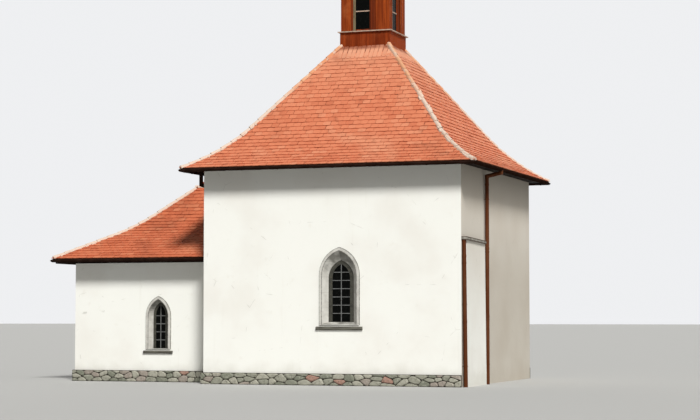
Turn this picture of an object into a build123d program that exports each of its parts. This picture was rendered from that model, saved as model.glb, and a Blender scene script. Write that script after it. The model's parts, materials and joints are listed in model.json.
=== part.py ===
from build123d import *
from math import asin, cos, pi, radians, sin, sqrt, tan
import os

# A small church: a tall square nave under a bell-cast tiled roof that carries a timber lantern,
# and a lower chancel under a hipped roof. Lengths are in millimetres and angles in degrees.
# The origin is on the ground at the centre of the nave. +X runs along the front wall, away from
# the chancel, +Y runs from the front wall into the depth and +Z is up.

# Nave
nave_side = 8160
wall_height = 6500
wall_thickness = 800
nave_floor_level = 150

# Chancel, on the -X side of the nave
chancel_length = 4970
chancel_width = 5900
chancel_wall_thickness = 700

# Rubble plinth under both
plinth_height = 350
plinth_projection = 60

# Pointed arch between nave and chancel
arch_width = 3000
arch_spring_level = 2400
arch_apex_level = 4300

# Nave roof: straight foot, tangent bend, straight main slope
nave_eave_reach = 530
nave_nose_rise = 50
nave_foot_run = 150
nave_foot_angle = 29
nave_bend_radius = 5000
nave_main_angle = 51.4

# Chancel roof, made the same way, with its ridge set below the nave's soffit
chancel_ridge_clearance = 80
chancel_eave_reach = 530
chancel_nose_rise = 131
chancel_foot_run = 1400
chancel_foot_angle = 28
chancel_bend_radius = 5000
chancel_main_angle = 42

# Roof covering, caps over hips and ridge, flashing against the nave wall
roof_thickness = 70
cap_width = 180
cap_thickness = 25
flashing_height = 90
flashing_thickness = 25

# Boxed eaves: fascia, sole board over the wall top and an upstand under the rafters
fascia_setback = 60
fascia_thickness = 30
fascia_drop = 30
sole_thickness = 40
upstand_setback = 250
upstand_thickness = 150
mitre_gap = 2

# Half-round gutters
gutter_radius = 65
gutter_wall = 5
gutter_below_roof = 6

# Round downpipes with mitred elbows
pipe_radius = 60
pipe_wall = 5
pipe_standoff = 30
right_pipe_y = -1545
right_outlet_gap = 5
right_neck_clearance = 80
right_neck_rise = 90
left_pipe_y = -3950
left_pipe_standoff = 95
left_pipe_drop = 420
left_pipe_fall = 60
left_pipe_eave_inset = 380
corner_pipe_y = -4010
corner_pipe_standoff = 5

# Battered buttress on the right wall between two downpipes, with a sloping coping
buttress_top_projection = 120
buttress_foot_projection = 160
buttress_front_y = -3930
buttress_back_y = -1930
coping_front_y = -4080
coping_level = 4370
coping_angle = 1.4
coping_thickness = 95
coping_overhang = 50

# Nave windows, one in the front wall and one behind it
nave_window_x = 315
nave_window_width = 1250
nave_window_foot_level = 1790
nave_window_spring_level = 3270
nave_window_apex_level = 4085
nave_light_width = 800
nave_light_foot_level = 1875
nave_light_spring_level = 3188
nave_frame_width = 150
nave_sill_width = 1460
nave_sill_thickness = 105

# Chancel windows: front, back and end
chancel_window_x = -6130
chancel_window_width = 840
chancel_window_foot_level = 1020
chancel_window_spring_level = 2050
chancel_window_apex_level = 2668
chancel_light_width = 500
chancel_light_foot_level = 1040
chancel_light_spring_level = 2100
chancel_frame_width = 115
chancel_sill_width = 1000
chancel_sill_thickness = 90

# What all the windows share
surround_depth = 170
surround_projection = 30
moulding_width = 70
moulding_foot = 15
arch_stones = 8
frame_rebate = 30
frame_foot_width = 45
frame_depth = 60
glass_thickness = 10
glass_setback = 25
sill_gap = 45
sill_depth = 150
sill_projection = 65
sill_fall = 20
sill_drip = 30

# Pointed doorway in the back wall
door_x = 2350
door_width = 1200
door_spring_level = 1750
door_apex_level = 2650
door_surround_width = 220
door_splay = 90
door_leaf_thickness = 70

# Lantern: skirt, sill trim, corner posts, panels, cornice and roof
lantern_side = 1620
skirt_thickness = 40
skirt_height = 450
skirt_below_roof = 350
trim_thickness = 50
trim_projection = 85
trim_nose = 30
trim_inset = 140
post_setback = 20
post_width = 300
post_depth = 110
post_height = 1850
panel_setback = 55
panel_thickness = 60
lantern_window_width = 600
lantern_window_shift = 120
lantern_frame_width = 45
lantern_frame_depth = 50
cornice_height = 180
cornice_projection = 130
cornice_step = 12
lantern_eave_reach = 230
lantern_foot_run = 50
lantern_foot_angle = 35
lantern_bend_radius = 1500
lantern_main_angle = 58
lantern_roof_thickness = 50

# Iron finial: rod, collar, ball and plain cross
finial_cut = 120
rod_radius = 22
rod_depth = 300
collar_height = 90
collar_top_radius = 34
ball_radius = 120
ball_bands = 6
finial_sides = 16
cross_height = 900
cross_arm_height = 560
cross_width = 520
cross_bar = 44

# Sizes that follow from those
nave_half = nave_side / 2
nave_inner_half = nave_half - wall_thickness
chancel_half = chancel_width / 2
chancel_inner_half = chancel_half - chancel_wall_thickness
chancel_end_x = -nave_half - chancel_length
lantern_half = lantern_side / 2
gutter_centre_r = fascia_setback - gutter_radius


# General shapes
def block(x_limits, y_limits, z_limits):
    """A box between three pairs of limits."""
    limits = (x_limits, y_limits, z_limits)
    spans = [high - low for low, high in limits]
    middle = [(high + low) / 2 for low, high in limits]
    return Pos(*middle) * Box(*spans)


def outline(*points):
    """A flat face with straight edges."""
    return make_face(Polyline(*points, close=True))


def plan_prism(points, z_limits):
    """A vertical prism over a plan outline."""
    return Pos(0, 0, z_limits[0]) * extrude(outline(*points), amount=z_limits[1] - z_limits[0])


def rectangle(r_limits, z_limits):
    """A rectangle in a section, between two pairs of limits."""
    centre = Pos(sum(r_limits) / 2, sum(z_limits) / 2)
    return centre * Rectangle(r_limits[1] - r_limits[0], z_limits[1] - z_limits[0])


def run_along_x(section, x_limits):
    """Run a Y-Z section along X."""
    return Pos(x_limits[0], 0, 0) * extrude(Plane.YZ * section, amount=x_limits[1] - x_limits[0])


def turned_to_four_sides(piece):
    """The same piece on the front, right, back and left."""
    return [Rot(0, 0, turn) * piece for turn in (0, 90, 180, 270)]


def fused(pieces):
    """Several touching pieces as one."""
    whole = pieces[0]
    for piece in pieces[1:]:
        whole = whole + piece
    return whole


def flat_faced(rims):
    """A solid with flat faces through outlines of as many corners, one behind the other."""
    sides = [
        (near[i - 1], near[i], far[i], far[i - 1])
        for near, far in zip(rims, rims[1:]) for i in range(len(near))]
    return Solid(Shell([Face(Wire.make_polygon(side)) for side in [rims[0], rims[-1]] + sides]))


class PointedOpening:
    """A pointed arch over straight jambs, centred on x = 0, seen from the front."""

    def __init__(self, half_width, foot, spring, apex):
        self.half_width = half_width
        self.foot = foot
        self.spring = spring
        self.apex = apex

    def grown(self, margin, foot_margin=None):
        """The same opening with a margin round it, or a negative one inside it."""
        below = margin if foot_margin is None else foot_margin
        return PointedOpening(self.half_width + margin, self.foot - below, self.spring, self.apex + margin)

    def face(self, y):
        """The opening's outline at one depth."""
        rise = self.apex - self.spring
        radius = (self.half_width**2 + rise**2) / (2 * self.half_width)
        half_angle = asin(rise / radius) / 2
        bulge_x = radius * cos(half_angle) - (radius - self.half_width)
        bulge_z = self.spring + radius * sin(half_angle)
        right = ThreePointArc((self.half_width, self.spring), (bulge_x, bulge_z), (0, self.apex))
        left = ThreePointArc((0, self.apex), (-bulge_x, bulge_z), (-self.half_width, self.spring))
        jambs = Polyline(
            (-self.half_width, self.spring), (-self.half_width, self.foot),
            (self.half_width, self.foot), (self.half_width, self.spring))
        return Pos(0, y, 0) * (Plane.XZ * make_face(right + left + jambs))

    def prism(self, y_limits):
        """The opening run through from one depth to another."""
        return extrude(self.face(y_limits[1]), amount=y_limits[1] - y_limits[0])

    def similar(self, half_width, foot, spring):
        """An opening with the same shape of head on another width."""
        rise = (self.apex - self.spring) * half_width / self.half_width
        return PointedOpening(half_width, foot, spring, spring + rise)

    def corners(self, y):
        """Corners of the outline at one depth with the head worked flat on each of its stones."""
        rise = self.apex - self.spring
        radius = (self.half_width**2 + rise**2) / (2 * self.half_width)
        turns = [asin(rise / radius) * joint / arch_stones for joint in range(arch_stones + 1)]
        right = [(radius * cos(turn) - radius + self.half_width, self.spring + radius * sin(turn))
                 for turn in turns]
        left = [(-x, z) for x, z in reversed(right[:-1])]
        feet = [(-self.half_width, self.foot), (self.half_width, self.foot)]
        return [(x, y, z) for x, z in feet + right + left]

    def splay_to(self, inner, y_limits):
        """A tapering passage with flat faces to a similar outline behind it."""
        return flat_faced([self.corners(y_limits[0]), inner.corners(y_limits[1])])

    def worked_flat(self, y_limits):
        """The opening run through with the head worked flat on each of its stones."""
        return self.splay_to(self, y_limits)


class RoofProfile:
    """Section of a bell-cast roof. r runs inwards from the tile nose and lifts are square to the slope."""

    def __init__(self, nose_level, foot_run, foot_angle, bend_radius, main_angle, run):
        self.nose_level = nose_level
        self.foot_run = foot_run
        self.foot = radians(foot_angle)
        self.main = radians(main_angle)
        self.middle = (self.foot + self.main) / 2
        self.radius = bend_radius
        self.run = run
        self.bend_centre_r = foot_run - bend_radius * sin(self.foot)
        self.bend_centre_level = nose_level + foot_run * tan(self.foot) + bend_radius * cos(self.foot)

    def nose(self, lift):
        """Outer end of the foot."""
        return -lift * sin(self.foot), self.nose_level + lift * cos(self.foot)

    def on_bend(self, angle, lift):
        """Point of the bend where it slopes at an angle."""
        radius = self.radius - lift
        return self.bend_centre_r + radius * sin(angle), self.bend_centre_level - radius * cos(angle)

    def top(self, lift):
        """Inner end of the main slope."""
        r, level = self.on_bend(self.main, lift)
        return self.run, level + (self.run - r) * tan(self.main)

    def surface(self, lift):
        """Foot, bend and main slope as one line of edges."""
        foot, middle, main = (self.on_bend(angle, lift) for angle in (self.foot, self.middle, self.main))
        return Line(self.nose(lift), foot) + ThreePointArc(foot, middle, main) + Line(main, self.top(lift))

    def layer(self, low, high):
        """The section between two lifts."""
        ends = Line(self.nose(low), self.nose(high)) + Line(self.top(low), self.top(high))
        return make_face(self.surface(low) + self.surface(high) + ends)

    def below(self, lift, floor_level):
        """The section between a floor level and one lift."""
        walls = Polyline(
            self.nose(lift), (self.nose(lift)[0], floor_level), (self.run, floor_level), self.top(lift))
        return make_face(self.surface(lift) + walls)


# Roof profiles and the levels that follow from them
nave_eave_half = nave_half + nave_eave_reach
nave_profile = RoofProfile(
    wall_height + nave_nose_rise, nave_foot_run, nave_foot_angle, nave_bend_radius,
    nave_main_angle, nave_eave_half - lantern_half)
chancel_eave_half = chancel_half + chancel_eave_reach
chancel_roof_shape = (
    chancel_foot_run, chancel_foot_angle, chancel_bend_radius, chancel_main_angle, chancel_eave_half)
chancel_roof_rise = RoofProfile(0, *chancel_roof_shape).top(flashing_height)[1]
chancel_nose_level = wall_height - chancel_ridge_clearance - chancel_roof_rise
chancel_wall_height = chancel_nose_level - chancel_nose_rise
chancel_profile = RoofProfile(chancel_nose_level, *chancel_roof_shape)
skirt_foot = nave_profile.top(0)[1] - skirt_below_roof
skirt_top = nave_profile.top(0)[1] + skirt_height
post_foot = skirt_top + trim_thickness
post_top = post_foot + post_height
cornice_top = post_top + cornice_height
post_half = lantern_half - post_setback
lantern_eave_half = post_half + lantern_eave_reach
lantern_profile = RoofProfile(
    cornice_top, lantern_foot_run, lantern_foot_angle, lantern_bend_radius,
    lantern_main_angle, lantern_eave_half)
finial_foot = lantern_profile.top(0)[1] - finial_cut
whole_height = (0, finial_foot + rod_depth + cross_height)


# Runs round a square, mitred at 45 degrees
def along_front_eave(section, eave_half, x_limits):
    """Run a roof section along X with its nose line at y = -eave_half."""
    return run_along_x(Pos(-eave_half, 0) * section, x_limits)


def front_run(section, eave_half, r_limits, gap=0):
    """The front one of four runs round a square."""
    outer = eave_half - r_limits[0]
    inner = eave_half - r_limits[1]
    plan = [(-outer + gap, -outer), (outer - gap, -outer), (inner - gap, -inner), (-inner + gap, -inner)]
    return along_front_eave(section, eave_half, (-outer, outer)) & plan_prism(plan, whole_height)


def gable_slope(section, eave_half):
    """The front one of four slopes that meet in a point."""
    plan = [(-eave_half, -eave_half), (eave_half, -eave_half), (0, 0)]
    return along_front_eave(section, eave_half, (-eave_half, eave_half)) & plan_prism(plan, whole_height)


def gutter_rim_level(profile):
    """Height of a gutter's rim, just below the covering where it meets the fascia."""
    underside = profile.nose_level + fascia_setback * tan(profile.foot) - roof_thickness / cos(profile.foot)
    return underside - gutter_below_roof


def gutter_section(profile):
    """A half-round gutter against the fascia."""
    ring = Circle(gutter_radius) - Circle(gutter_radius - gutter_wall)
    lower_half = rectangle((-gutter_radius, gutter_radius), (-gutter_radius, 0))
    return Pos(gutter_centre_r, gutter_rim_level(profile)) * (ring & lower_half)


def eaves_section(profile, wall_top, reach):
    """Fascia, sole board and upstand, trimmed to the underside of the covering."""
    highest = profile.top(0)[1]
    inner = reach + upstand_setback + upstand_thickness
    fascia = rectangle((fascia_setback, fascia_setback + fascia_thickness), (wall_top - fascia_drop, highest))
    sole = rectangle((fascia_setback, inner), (wall_top, wall_top + sole_thickness))
    upstand = rectangle((inner - upstand_thickness, inner), (wall_top, highest))
    return (fascia + sole + upstand) & profile.below(-roof_thickness, wall_top - fascia_drop)


# Windows
class Window:
    """The outlines and sizes that one kind of window is made from."""

    def __init__(self, surround, light_width, light_foot, light_spring, frame_width, sill_width, sill_thickness):
        self.surround = surround
        self.mouth = surround.grown(-moulding_width, -moulding_foot)
        self.light = self.mouth.similar(light_width / 2, light_foot, light_spring)
        self.rebate = self.light.grown(frame_rebate)
        self.clear = self.light.grown(frame_rebate - frame_width, frame_rebate - frame_foot_width)
        self.sill_half = sill_width / 2
        self.sill_top = surround.foot - sill_gap
        self.sill_foot = self.sill_top - sill_thickness

    def wall_cut(self, wall):
        """What the window takes out of its wall: surround, light and sill."""
        sill = block((-self.sill_half, self.sill_half), (-wall, sill_depth), (self.sill_foot, self.sill_top))
        return self.surround.prism((-wall, surround_depth)) + self.rebate.worked_flat((0, 2 * wall)) + sill

    def surround_piece(self):
        """Dressed stone: a flat moulding and a reveal that splays in to the light."""
        depth = (-surround_projection, surround_depth)
        return self.surround.prism(depth) - self.mouth.splay_to(self.light, depth)

    def sill_piece(self):
        """A stone sill with a sloping top and an undercut front edge."""
        nose = -sill_projection
        section = outline(
            (sill_depth, self.sill_top), (-surround_projection, self.sill_top), (nose, self.sill_top - sill_fall),
            (nose, self.sill_foot + sill_drip), (nose + sill_drip, self.sill_foot), (sill_depth, self.sill_foot))
        return run_along_x(section, (-self.sill_half, self.sill_half))

    def frame_piece(self):
        """The frame behind the surround."""
        depth = (surround_depth, surround_depth + frame_depth)
        return self.rebate.worked_flat(depth) - self.clear.worked_flat(depth)

    def glass_piece(self):
        """The glass inside the frame."""
        near = surround_depth + glass_setback
        return self.clear.worked_flat((near, near + glass_thickness))


nave_window = Window(
    PointedOpening(nave_window_width / 2, nave_window_foot_level, nave_window_spring_level,
                   nave_window_apex_level),
    nave_light_width, nave_light_foot_level, nave_light_spring_level, nave_frame_width,
    nave_sill_width, nave_sill_thickness)
chancel_window = Window(
    PointedOpening(chancel_window_width / 2, chancel_window_foot_level, chancel_window_spring_level,
                   chancel_window_apex_level),
    chancel_light_width, chancel_light_foot_level, chancel_light_spring_level, chancel_frame_width,
    chancel_sill_width, chancel_sill_thickness)

# From a piece made about the origin, facing -Y, to its place on a wall's outer face
nave_front_place = Pos(nave_window_x, -nave_half, 0)
nave_back_place = Pos(nave_window_x, nave_half, 0) * Rot(0, 0, 180)
chancel_front_place = Pos(chancel_window_x, -chancel_half, 0)
chancel_back_place = Pos(chancel_window_x, chancel_half, 0) * Rot(0, 0, 180)
chancel_end_place = Pos(chancel_end_x, 0, 0) * Rot(0, 0, -90)
arch_place = Pos(-nave_half, 0, 0) * Rot(0, 0, -90)
door_place = Pos(door_x, nave_half, 0) * Rot(0, 0, 180)


def at_windows(nave_piece, chancel_piece):
    """A window's piece at every window of nave and chancel."""
    nave_places = (nave_front_place, nave_back_place)
    chancel_places = (chancel_front_place, chancel_back_place, chancel_end_place)
    return [place * nave_piece for place in nave_places] + [place * chancel_piece for place in chancel_places]


# Door and arch
door = PointedOpening(door_width / 2, nave_floor_level, door_spring_level, door_apex_level)
door_surround = door.grown(door_surround_width, 0)
arch = PointedOpening(arch_width / 2, 0, arch_spring_level, arch_apex_level)


def door_surround_piece():
    """Dressed stone round the doorway, splayed like the windows."""
    depth = (-surround_projection, surround_depth)
    mouth = door.similar(door_width / 2 + door_splay, nave_floor_level, door_spring_level)
    return door_place * (door_surround.prism(depth) - mouth.splay_to(door, depth))


def door_cut():
    """What the doorway takes out of wall and plinth."""
    outside = door_surround.prism((-wall_thickness, surround_depth))
    return door_place * (outside + door.prism((0, 2 * wall_thickness)))


# Walls, floors and plinth
def right_wall_foot():
    """The foot of the right wall, which stands on the ground from corner to corner without a plinth."""
    return block((nave_inner_half, nave_half), (-nave_half, nave_half), (0, plinth_height))


def nave_walls():
    """Front, back, left and right walls of the nave with their openings."""
    across = (-nave_half, nave_half)
    between = (-nave_inner_half, nave_inner_half)
    levels = (plinth_height, wall_height)
    front = block(across, (-nave_half, -nave_inner_half), levels)
    back = block(across, (nave_inner_half, nave_half), levels)
    left = block((-nave_half, -nave_inner_half), between, levels)
    right = block((nave_inner_half, nave_half), between, (plinth_height, wall_height)) + right_wall_foot()
    window_cut = nave_window.wall_cut(wall_thickness)
    through_arch = arch_place * arch.prism((-wall_thickness, 2 * wall_thickness))
    return (front - nave_front_place * window_cut, back - nave_back_place * window_cut - door_cut(),
            left - through_arch, right)


def chancel_walls():
    """Front, back and end walls of the chancel with their windows."""
    along = (chancel_end_x, -nave_half)
    levels = (plinth_height, chancel_wall_height)
    front = block(along, (-chancel_half, -chancel_inner_half), levels)
    back = block(along, (chancel_inner_half, chancel_half), levels)
    end = block((chancel_end_x, chancel_end_x + chancel_wall_thickness),
                (-chancel_inner_half, chancel_inner_half), levels)
    cut = chancel_window.wall_cut(chancel_wall_thickness)
    return front - chancel_front_place * cut, back - chancel_back_place * cut, end - chancel_end_place * cut


def nave_plinth():
    """Rubble plinth under the front, left and back walls of the nave."""
    outer = nave_half + plinth_projection
    levels = (0, plinth_height)
    front = block((-outer, nave_half), (-outer, -nave_inner_half), levels)
    left = block((-outer, -nave_inner_half), (-nave_inner_half, nave_inner_half), levels)
    back = block((-outer, nave_half), (nave_inner_half, outer), levels)
    return (front + left + back) - door_cut() - right_wall_foot()


def chancel_plinth():
    """Rubble plinth under the three walls of the chancel."""
    outer = chancel_half + plinth_projection
    levels = (0, plinth_height)
    mass = block((chancel_end_x - plinth_projection, -nave_half - plinth_projection), (-outer, outer), levels)
    inside = block((chancel_end_x + chancel_wall_thickness, 0), (-chancel_inner_half, chancel_inner_half), levels)
    return mass - inside


# Buttress on the right wall
def under_coping(low, high):
    """Side outline of a sloping layer between two heights at the coping's front end."""
    drop = (buttress_back_y - coping_front_y) * tan(radians(coping_angle))
    return outline((coping_front_y, low), (coping_front_y, high),
                   (buttress_back_y, high - drop), (buttress_back_y, low - drop))


def above_buttress():
    """The space over the coping's underside."""
    layer = under_coping(coping_level - coping_thickness, wall_height)
    return run_along_x(layer, (nave_half, nave_half + wall_thickness))


def buttress():
    """The battered buttress up to its coping."""
    foot_x = nave_half + buttress_foot_projection
    top_x = nave_half + buttress_top_projection
    section = outline((nave_half, 0), (foot_x, 0), (top_x, coping_level), (nave_half, coping_level))
    length = buttress_back_y - buttress_front_y
    return extrude(Pos(0, buttress_back_y, 0) * (Plane.XZ * section), amount=length) - above_buttress()


def coping():
    """The slab on the buttress, which falls along the wall."""
    layer = under_coping(coping_level - coping_thickness, coping_level)
    return run_along_x(layer, (nave_half, nave_half + buttress_top_projection + coping_overhang))


# Nave roof
def nave_hip_cap():
    """The cap over the front left hip, down both slopes."""
    shift = cap_width / sqrt(2)
    foot = -nave_eave_half
    head = -lantern_half
    plan = [(foot, foot), (foot + shift, foot), (head + shift, head), (head, head)]
    layer = nave_profile.layer(0, cap_thickness)
    front = along_front_eave(layer, nave_eave_half, (foot, 0)) & plan_prism(plan, whole_height)
    return front + front.mirror(Plane((0, 0, 0), x_dir=(0, 0, 1), z_dir=(1, -1, 0)))


# Chancel roof, made about the point where its hips meet
chancel_apex_x = chancel_end_x - chancel_eave_reach + chancel_eave_half
chancel_near_x = -nave_half - chancel_apex_x
chancel_roof_place = Pos(chancel_apex_x, 0, 0)


def mirrored(piece):
    """The same piece on the other side of the chancel."""
    return piece.mirror(Plane.XZ)


def chancel_front_run(section, r_limits, gap=0):
    """A run along the chancel's front eave, mitred at its end and square at the nave."""
    outer = chancel_eave_half - r_limits[0]
    inner = chancel_eave_half - r_limits[1]
    plan = [(-outer + gap, -outer), (chancel_near_x, -outer), (chancel_near_x, -inner), (-inner + gap, -inner)]
    run = along_front_eave(section, chancel_eave_half, (-outer, chancel_near_x))
    return chancel_roof_place * (run & plan_prism(plan, whole_height))


def chancel_end_run(section, r_limits, gap=0):
    """A run round the chancel's end, mitred at both corners."""
    return chancel_roof_place * Rot(0, 0, -90) * front_run(section, chancel_eave_half, r_limits, gap)


def chancel_runs(section, r_limits):
    """Front, back and end runs of one section, clear of each other at the mitres."""
    front = chancel_front_run(section, r_limits, mitre_gap / 2)
    return [front, mirrored(front), chancel_end_run(section, r_limits, mitre_gap / 2)]


def chancel_front_slope():
    """The chancel's front slope from eave to ridge."""
    half = chancel_eave_half
    plan = [(-half, -half), (chancel_near_x, -half), (chancel_near_x, 0), (0, 0)]
    slope = along_front_eave(chancel_profile.layer(-roof_thickness, 0), half, (-half, chancel_near_x))
    return chancel_roof_place * (slope & plan_prism(plan, whole_height))


def chancel_end_slope():
    """The chancel's hipped end slope."""
    slope = gable_slope(chancel_profile.layer(-roof_thickness, 0), chancel_eave_half)
    return chancel_roof_place * Rot(0, 0, -90) * slope


def chancel_caps():
    """Caps over the two hips and the ridge of the chancel roof, in one piece."""
    half = chancel_eave_half
    side = cap_width / 2
    shift = cap_width / sqrt(2)
    layer = chancel_profile.layer(0, cap_thickness)
    over = along_front_eave(layer, half, (-half, chancel_near_x))
    hip_plan = [(-half, -half), (-half + shift, -half), (shift, 0), (0, 0)]
    ridge_plan = [(0, 0), (shift - side, -side), (chancel_near_x, -side), (chancel_near_x, 0)]
    front = (over & plan_prism(hip_plan, whole_height)) + (over & plan_prism(ridge_plan, whole_height))
    end = along_front_eave(layer, half, (-half, shift)) & plan_prism(hip_plan, whole_height)
    one_side = front + Rot(0, 0, -90) * end.mirror(Plane.YZ)
    return chancel_roof_place * (one_side + mirrored(one_side))


def chancel_flashing():
    """The strip that turns up against the nave wall over the chancel roof."""
    layer = chancel_profile.layer(0, flashing_height)
    front = along_front_eave(layer, chancel_eave_half, (chancel_near_x - flashing_thickness, chancel_near_x))
    return chancel_roof_place * (front + mirrored(front)) - chancel_caps()


# Lantern
def square_ring(outer, inner, z_limits):
    """A square ring round the lantern's axis, given by two half widths."""
    return (block((-outer, outer), (-outer, outer), z_limits)
            - block((-inner, inner), (-inner, inner), z_limits))


post_inner_edge = post_half - post_width
window_edges = (-lantern_window_shift - lantern_window_width / 2, -lantern_window_shift + lantern_window_width / 2)
post_levels = (post_foot, post_top)
panel_face = -lantern_half + panel_setback
frame_face = panel_face + (panel_thickness - lantern_frame_depth) / 2
frame_clear_edges = (window_edges[0] + lantern_frame_width, window_edges[1] - lantern_frame_width)
frame_clear_levels = (post_foot + lantern_frame_width, post_top - lantern_frame_width)


def sill_trim():
    """The projecting trim over the skirt, with a sloping top."""
    outer = lantern_half + trim_projection
    posts_at = trim_projection + post_setback
    inner = posts_at + trim_inset
    section = outline((0, skirt_top), (0, skirt_top + trim_nose), (posts_at, post_foot),
                      (inner, post_foot), (inner, skirt_top))
    return fused(turned_to_four_sides(front_run(section, outer, (0, inner))))


def corner_posts():
    """Four boxed corner posts, open towards the window panels."""
    posts = square_ring(post_half, post_half - post_depth, post_levels)
    middle = block((-post_inner_edge, post_inner_edge), (-lantern_half, 0), post_levels)
    for side in turned_to_four_sides(middle):
        posts = posts - side
    return posts


def panels():
    """The narrow boarded panels between the posts and one window."""
    depth = (panel_face, panel_face + panel_thickness)
    return [block((-post_inner_edge, window_edges[0]), depth, post_levels),
            block((window_edges[1], post_inner_edge), depth, post_levels)]


def lantern_frame():
    """The frame of the front window."""
    depth = (frame_face, frame_face + lantern_frame_depth)
    return block(window_edges, depth, post_levels) - block(frame_clear_edges, depth, frame_clear_levels)


def lantern_glass():
    """The glass of the front window."""
    middle = frame_face + lantern_frame_depth / 2
    return block(frame_clear_edges, (middle - glass_thickness / 2, middle + glass_thickness / 2),
                 frame_clear_levels)


def cornice():
    """A coved cornice from the posts out to the roof's underside."""
    face = lantern_eave_reach
    edge = face - cornice_projection
    inner = face + post_depth
    spring = post_top + cornice_step
    lip = spring + cornice_projection
    bulge = cornice_projection * sin(radians(45))
    cove = ThreePointArc((face, spring), (edge + bulge, spring + bulge), (edge, lip))
    rest = Polyline((edge, lip), (edge, cornice_top + cornice_height), (inner, cornice_top + cornice_height),
                    (inner, post_top), (face, post_top), (face, spring))
    section = make_face(cove + rest) & lantern_profile.below(-lantern_roof_thickness, post_top)
    return fused(turned_to_four_sides(front_run(section, lantern_eave_half, (0, inner))))


def lantern_roof():
    """The small bell-cast roof, cut level below its point to seat the finial."""
    slope = gable_slope(lantern_profile.layer(-lantern_roof_thickness, 0), lantern_eave_half)
    span = (-lantern_eave_half, lantern_eave_half)
    tip = block(span, span, (finial_foot, finial_foot + lantern_eave_half))
    socket = Pos(0, 0, finial_foot) * Cylinder(rod_radius, 2 * rod_depth)
    return fused(turned_to_four_sides(slope)) - tip - socket


def finial():
    """Rod, collar and many-sided ball on one axis, under a plain cross."""
    collar_radius = finial_cut / tan(radians(lantern_main_angle))
    collar_top = finial_foot + collar_height
    neck_top = collar_top + 2 * ball_radius
    turns = [pi * (band / ball_bands - 1 / 2) for band in range(1, ball_bands)]
    ball = [(ball_radius * cos(turn), collar_top + ball_radius * (1 + sin(turn))) for turn in turns]
    rims = [
        [(radius * cos(2 * pi * side / finial_sides), radius * sin(2 * pi * side / finial_sides), level)
         for side in range(finial_sides)]
        for radius, level in [(collar_radius, finial_foot), (collar_top_radius, collar_top), *ball,
                              (rod_radius, neck_top)]]
    bar = (-cross_bar / 2, cross_bar / 2)
    arm_level = neck_top + cross_arm_height
    upright = block(bar, bar, (neck_top, neck_top + cross_height))
    arms = block((-cross_width / 2, cross_width / 2), bar, (arm_level - cross_bar / 2, arm_level + cross_bar / 2))
    rod = Pos(0, 0, finial_foot - rod_depth / 2) * Cylinder(rod_radius, rod_depth)
    return flat_faced(rims) + rod + upright + arms


# Downpipes
def downpipe(*corners):
    """A round pipe with mitred elbows."""
    route = [Vector(*corner) for corner in corners]
    path = Polyline(*route)
    start = Plane(origin=route[0], z_dir=route[1] - route[0])
    outside = sweep(start * Circle(pipe_radius), path=path, transition=Transition.RIGHT)
    bore = sweep(start * Circle(pipe_radius - pipe_wall), path=path, transition=Transition.RIGHT)
    return outside - bore


def right_downpipe():
    """From the right gutter back to the wall and down to the ground."""
    gutter_x = nave_eave_half - gutter_centre_r
    outlet_x = nave_eave_half - fascia_setback + right_outlet_gap + pipe_radius
    wall_x = nave_half + pipe_standoff + pipe_radius
    rim = gutter_rim_level(nave_profile)
    neck_top = wall_height - fascia_drop - right_neck_clearance
    pipe = downpipe(
        (outlet_x, right_pipe_y, rim), (outlet_x, right_pipe_y, neck_top),
        (wall_x, right_pipe_y, neck_top - right_neck_rise), (wall_x, right_pipe_y, 0))
    gutter = Pos(gutter_x, right_pipe_y, rim) * Rot(90, 0, 0) * Cylinder(gutter_radius, 4 * pipe_radius)
    return pipe - gutter


def left_downpipe():
    """From the soffit back along the nave wall and down on to the chancel roof."""
    x = -nave_half - left_pipe_standoff - pipe_radius
    end_y = left_pipe_eave_inset - chancel_eave_half
    bend_level = wall_height - left_pipe_drop
    pipe = downpipe(
        (x, left_pipe_y, wall_height), (x, left_pipe_y, bend_level),
        (x, end_y, bend_level - left_pipe_fall), (x, end_y, plinth_height))
    under_roof = along_front_eave(chancel_profile.below(0, 0), chancel_eave_half, (0, chancel_near_x))
    return pipe - chancel_roof_place * under_roof


def corner_downpipe():
    """Beside the buttress, leaning with its batter, from under the coping to the ground."""
    top_x = nave_half + corner_pipe_standoff + pipe_radius
    top = Vector(top_x, corner_pipe_y, coping_level)
    foot = Vector(top_x + buttress_foot_projection - buttress_top_projection, corner_pipe_y, -pipe_radius)
    ring = Circle(pipe_radius) - Circle(pipe_radius - pipe_wall)
    pipe = Plane(origin=top, z_dir=foot - top) * extrude(ring, amount=(foot - top).length)
    over_ground = block((nave_half, nave_half + wall_thickness), (-nave_half, buttress_front_y), (0, wall_height))
    return (pipe & over_ground) - above_buttress()


def save(name, *pieces):
    """Write one node from its solids."""
    solids = [solid for piece in pieces for solid in piece.solids()]
    shape = solids[0] if len(solids) == 1 else Compound(children=solids)
    export_step(shape, f"parts/{name}.step")


os.makedirs("parts", exist_ok=True)

# Floors, plinth and walls
save("nave_floor", block(
    (-nave_inner_half, nave_inner_half), (-nave_inner_half, nave_inner_half), (0, nave_floor_level)))
save("chancel_floor", block(
    (chancel_end_x + chancel_wall_thickness, -nave_half - plinth_projection),
    (-chancel_inner_half, chancel_inner_half), (0, plinth_height)))
save("nave_plinth", nave_plinth())
save("chancel_plinth", chancel_plinth())
for side, wall in zip(("front", "back", "left", "right"), nave_walls()):
    save(f"nave_{side}_wall", wall)
for side, wall in zip(("front", "back", "end"), chancel_walls()):
    save(f"chancel_{side}_wall", wall)
save("side_buttress", buttress())
save("buttress_coping", coping())

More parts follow.
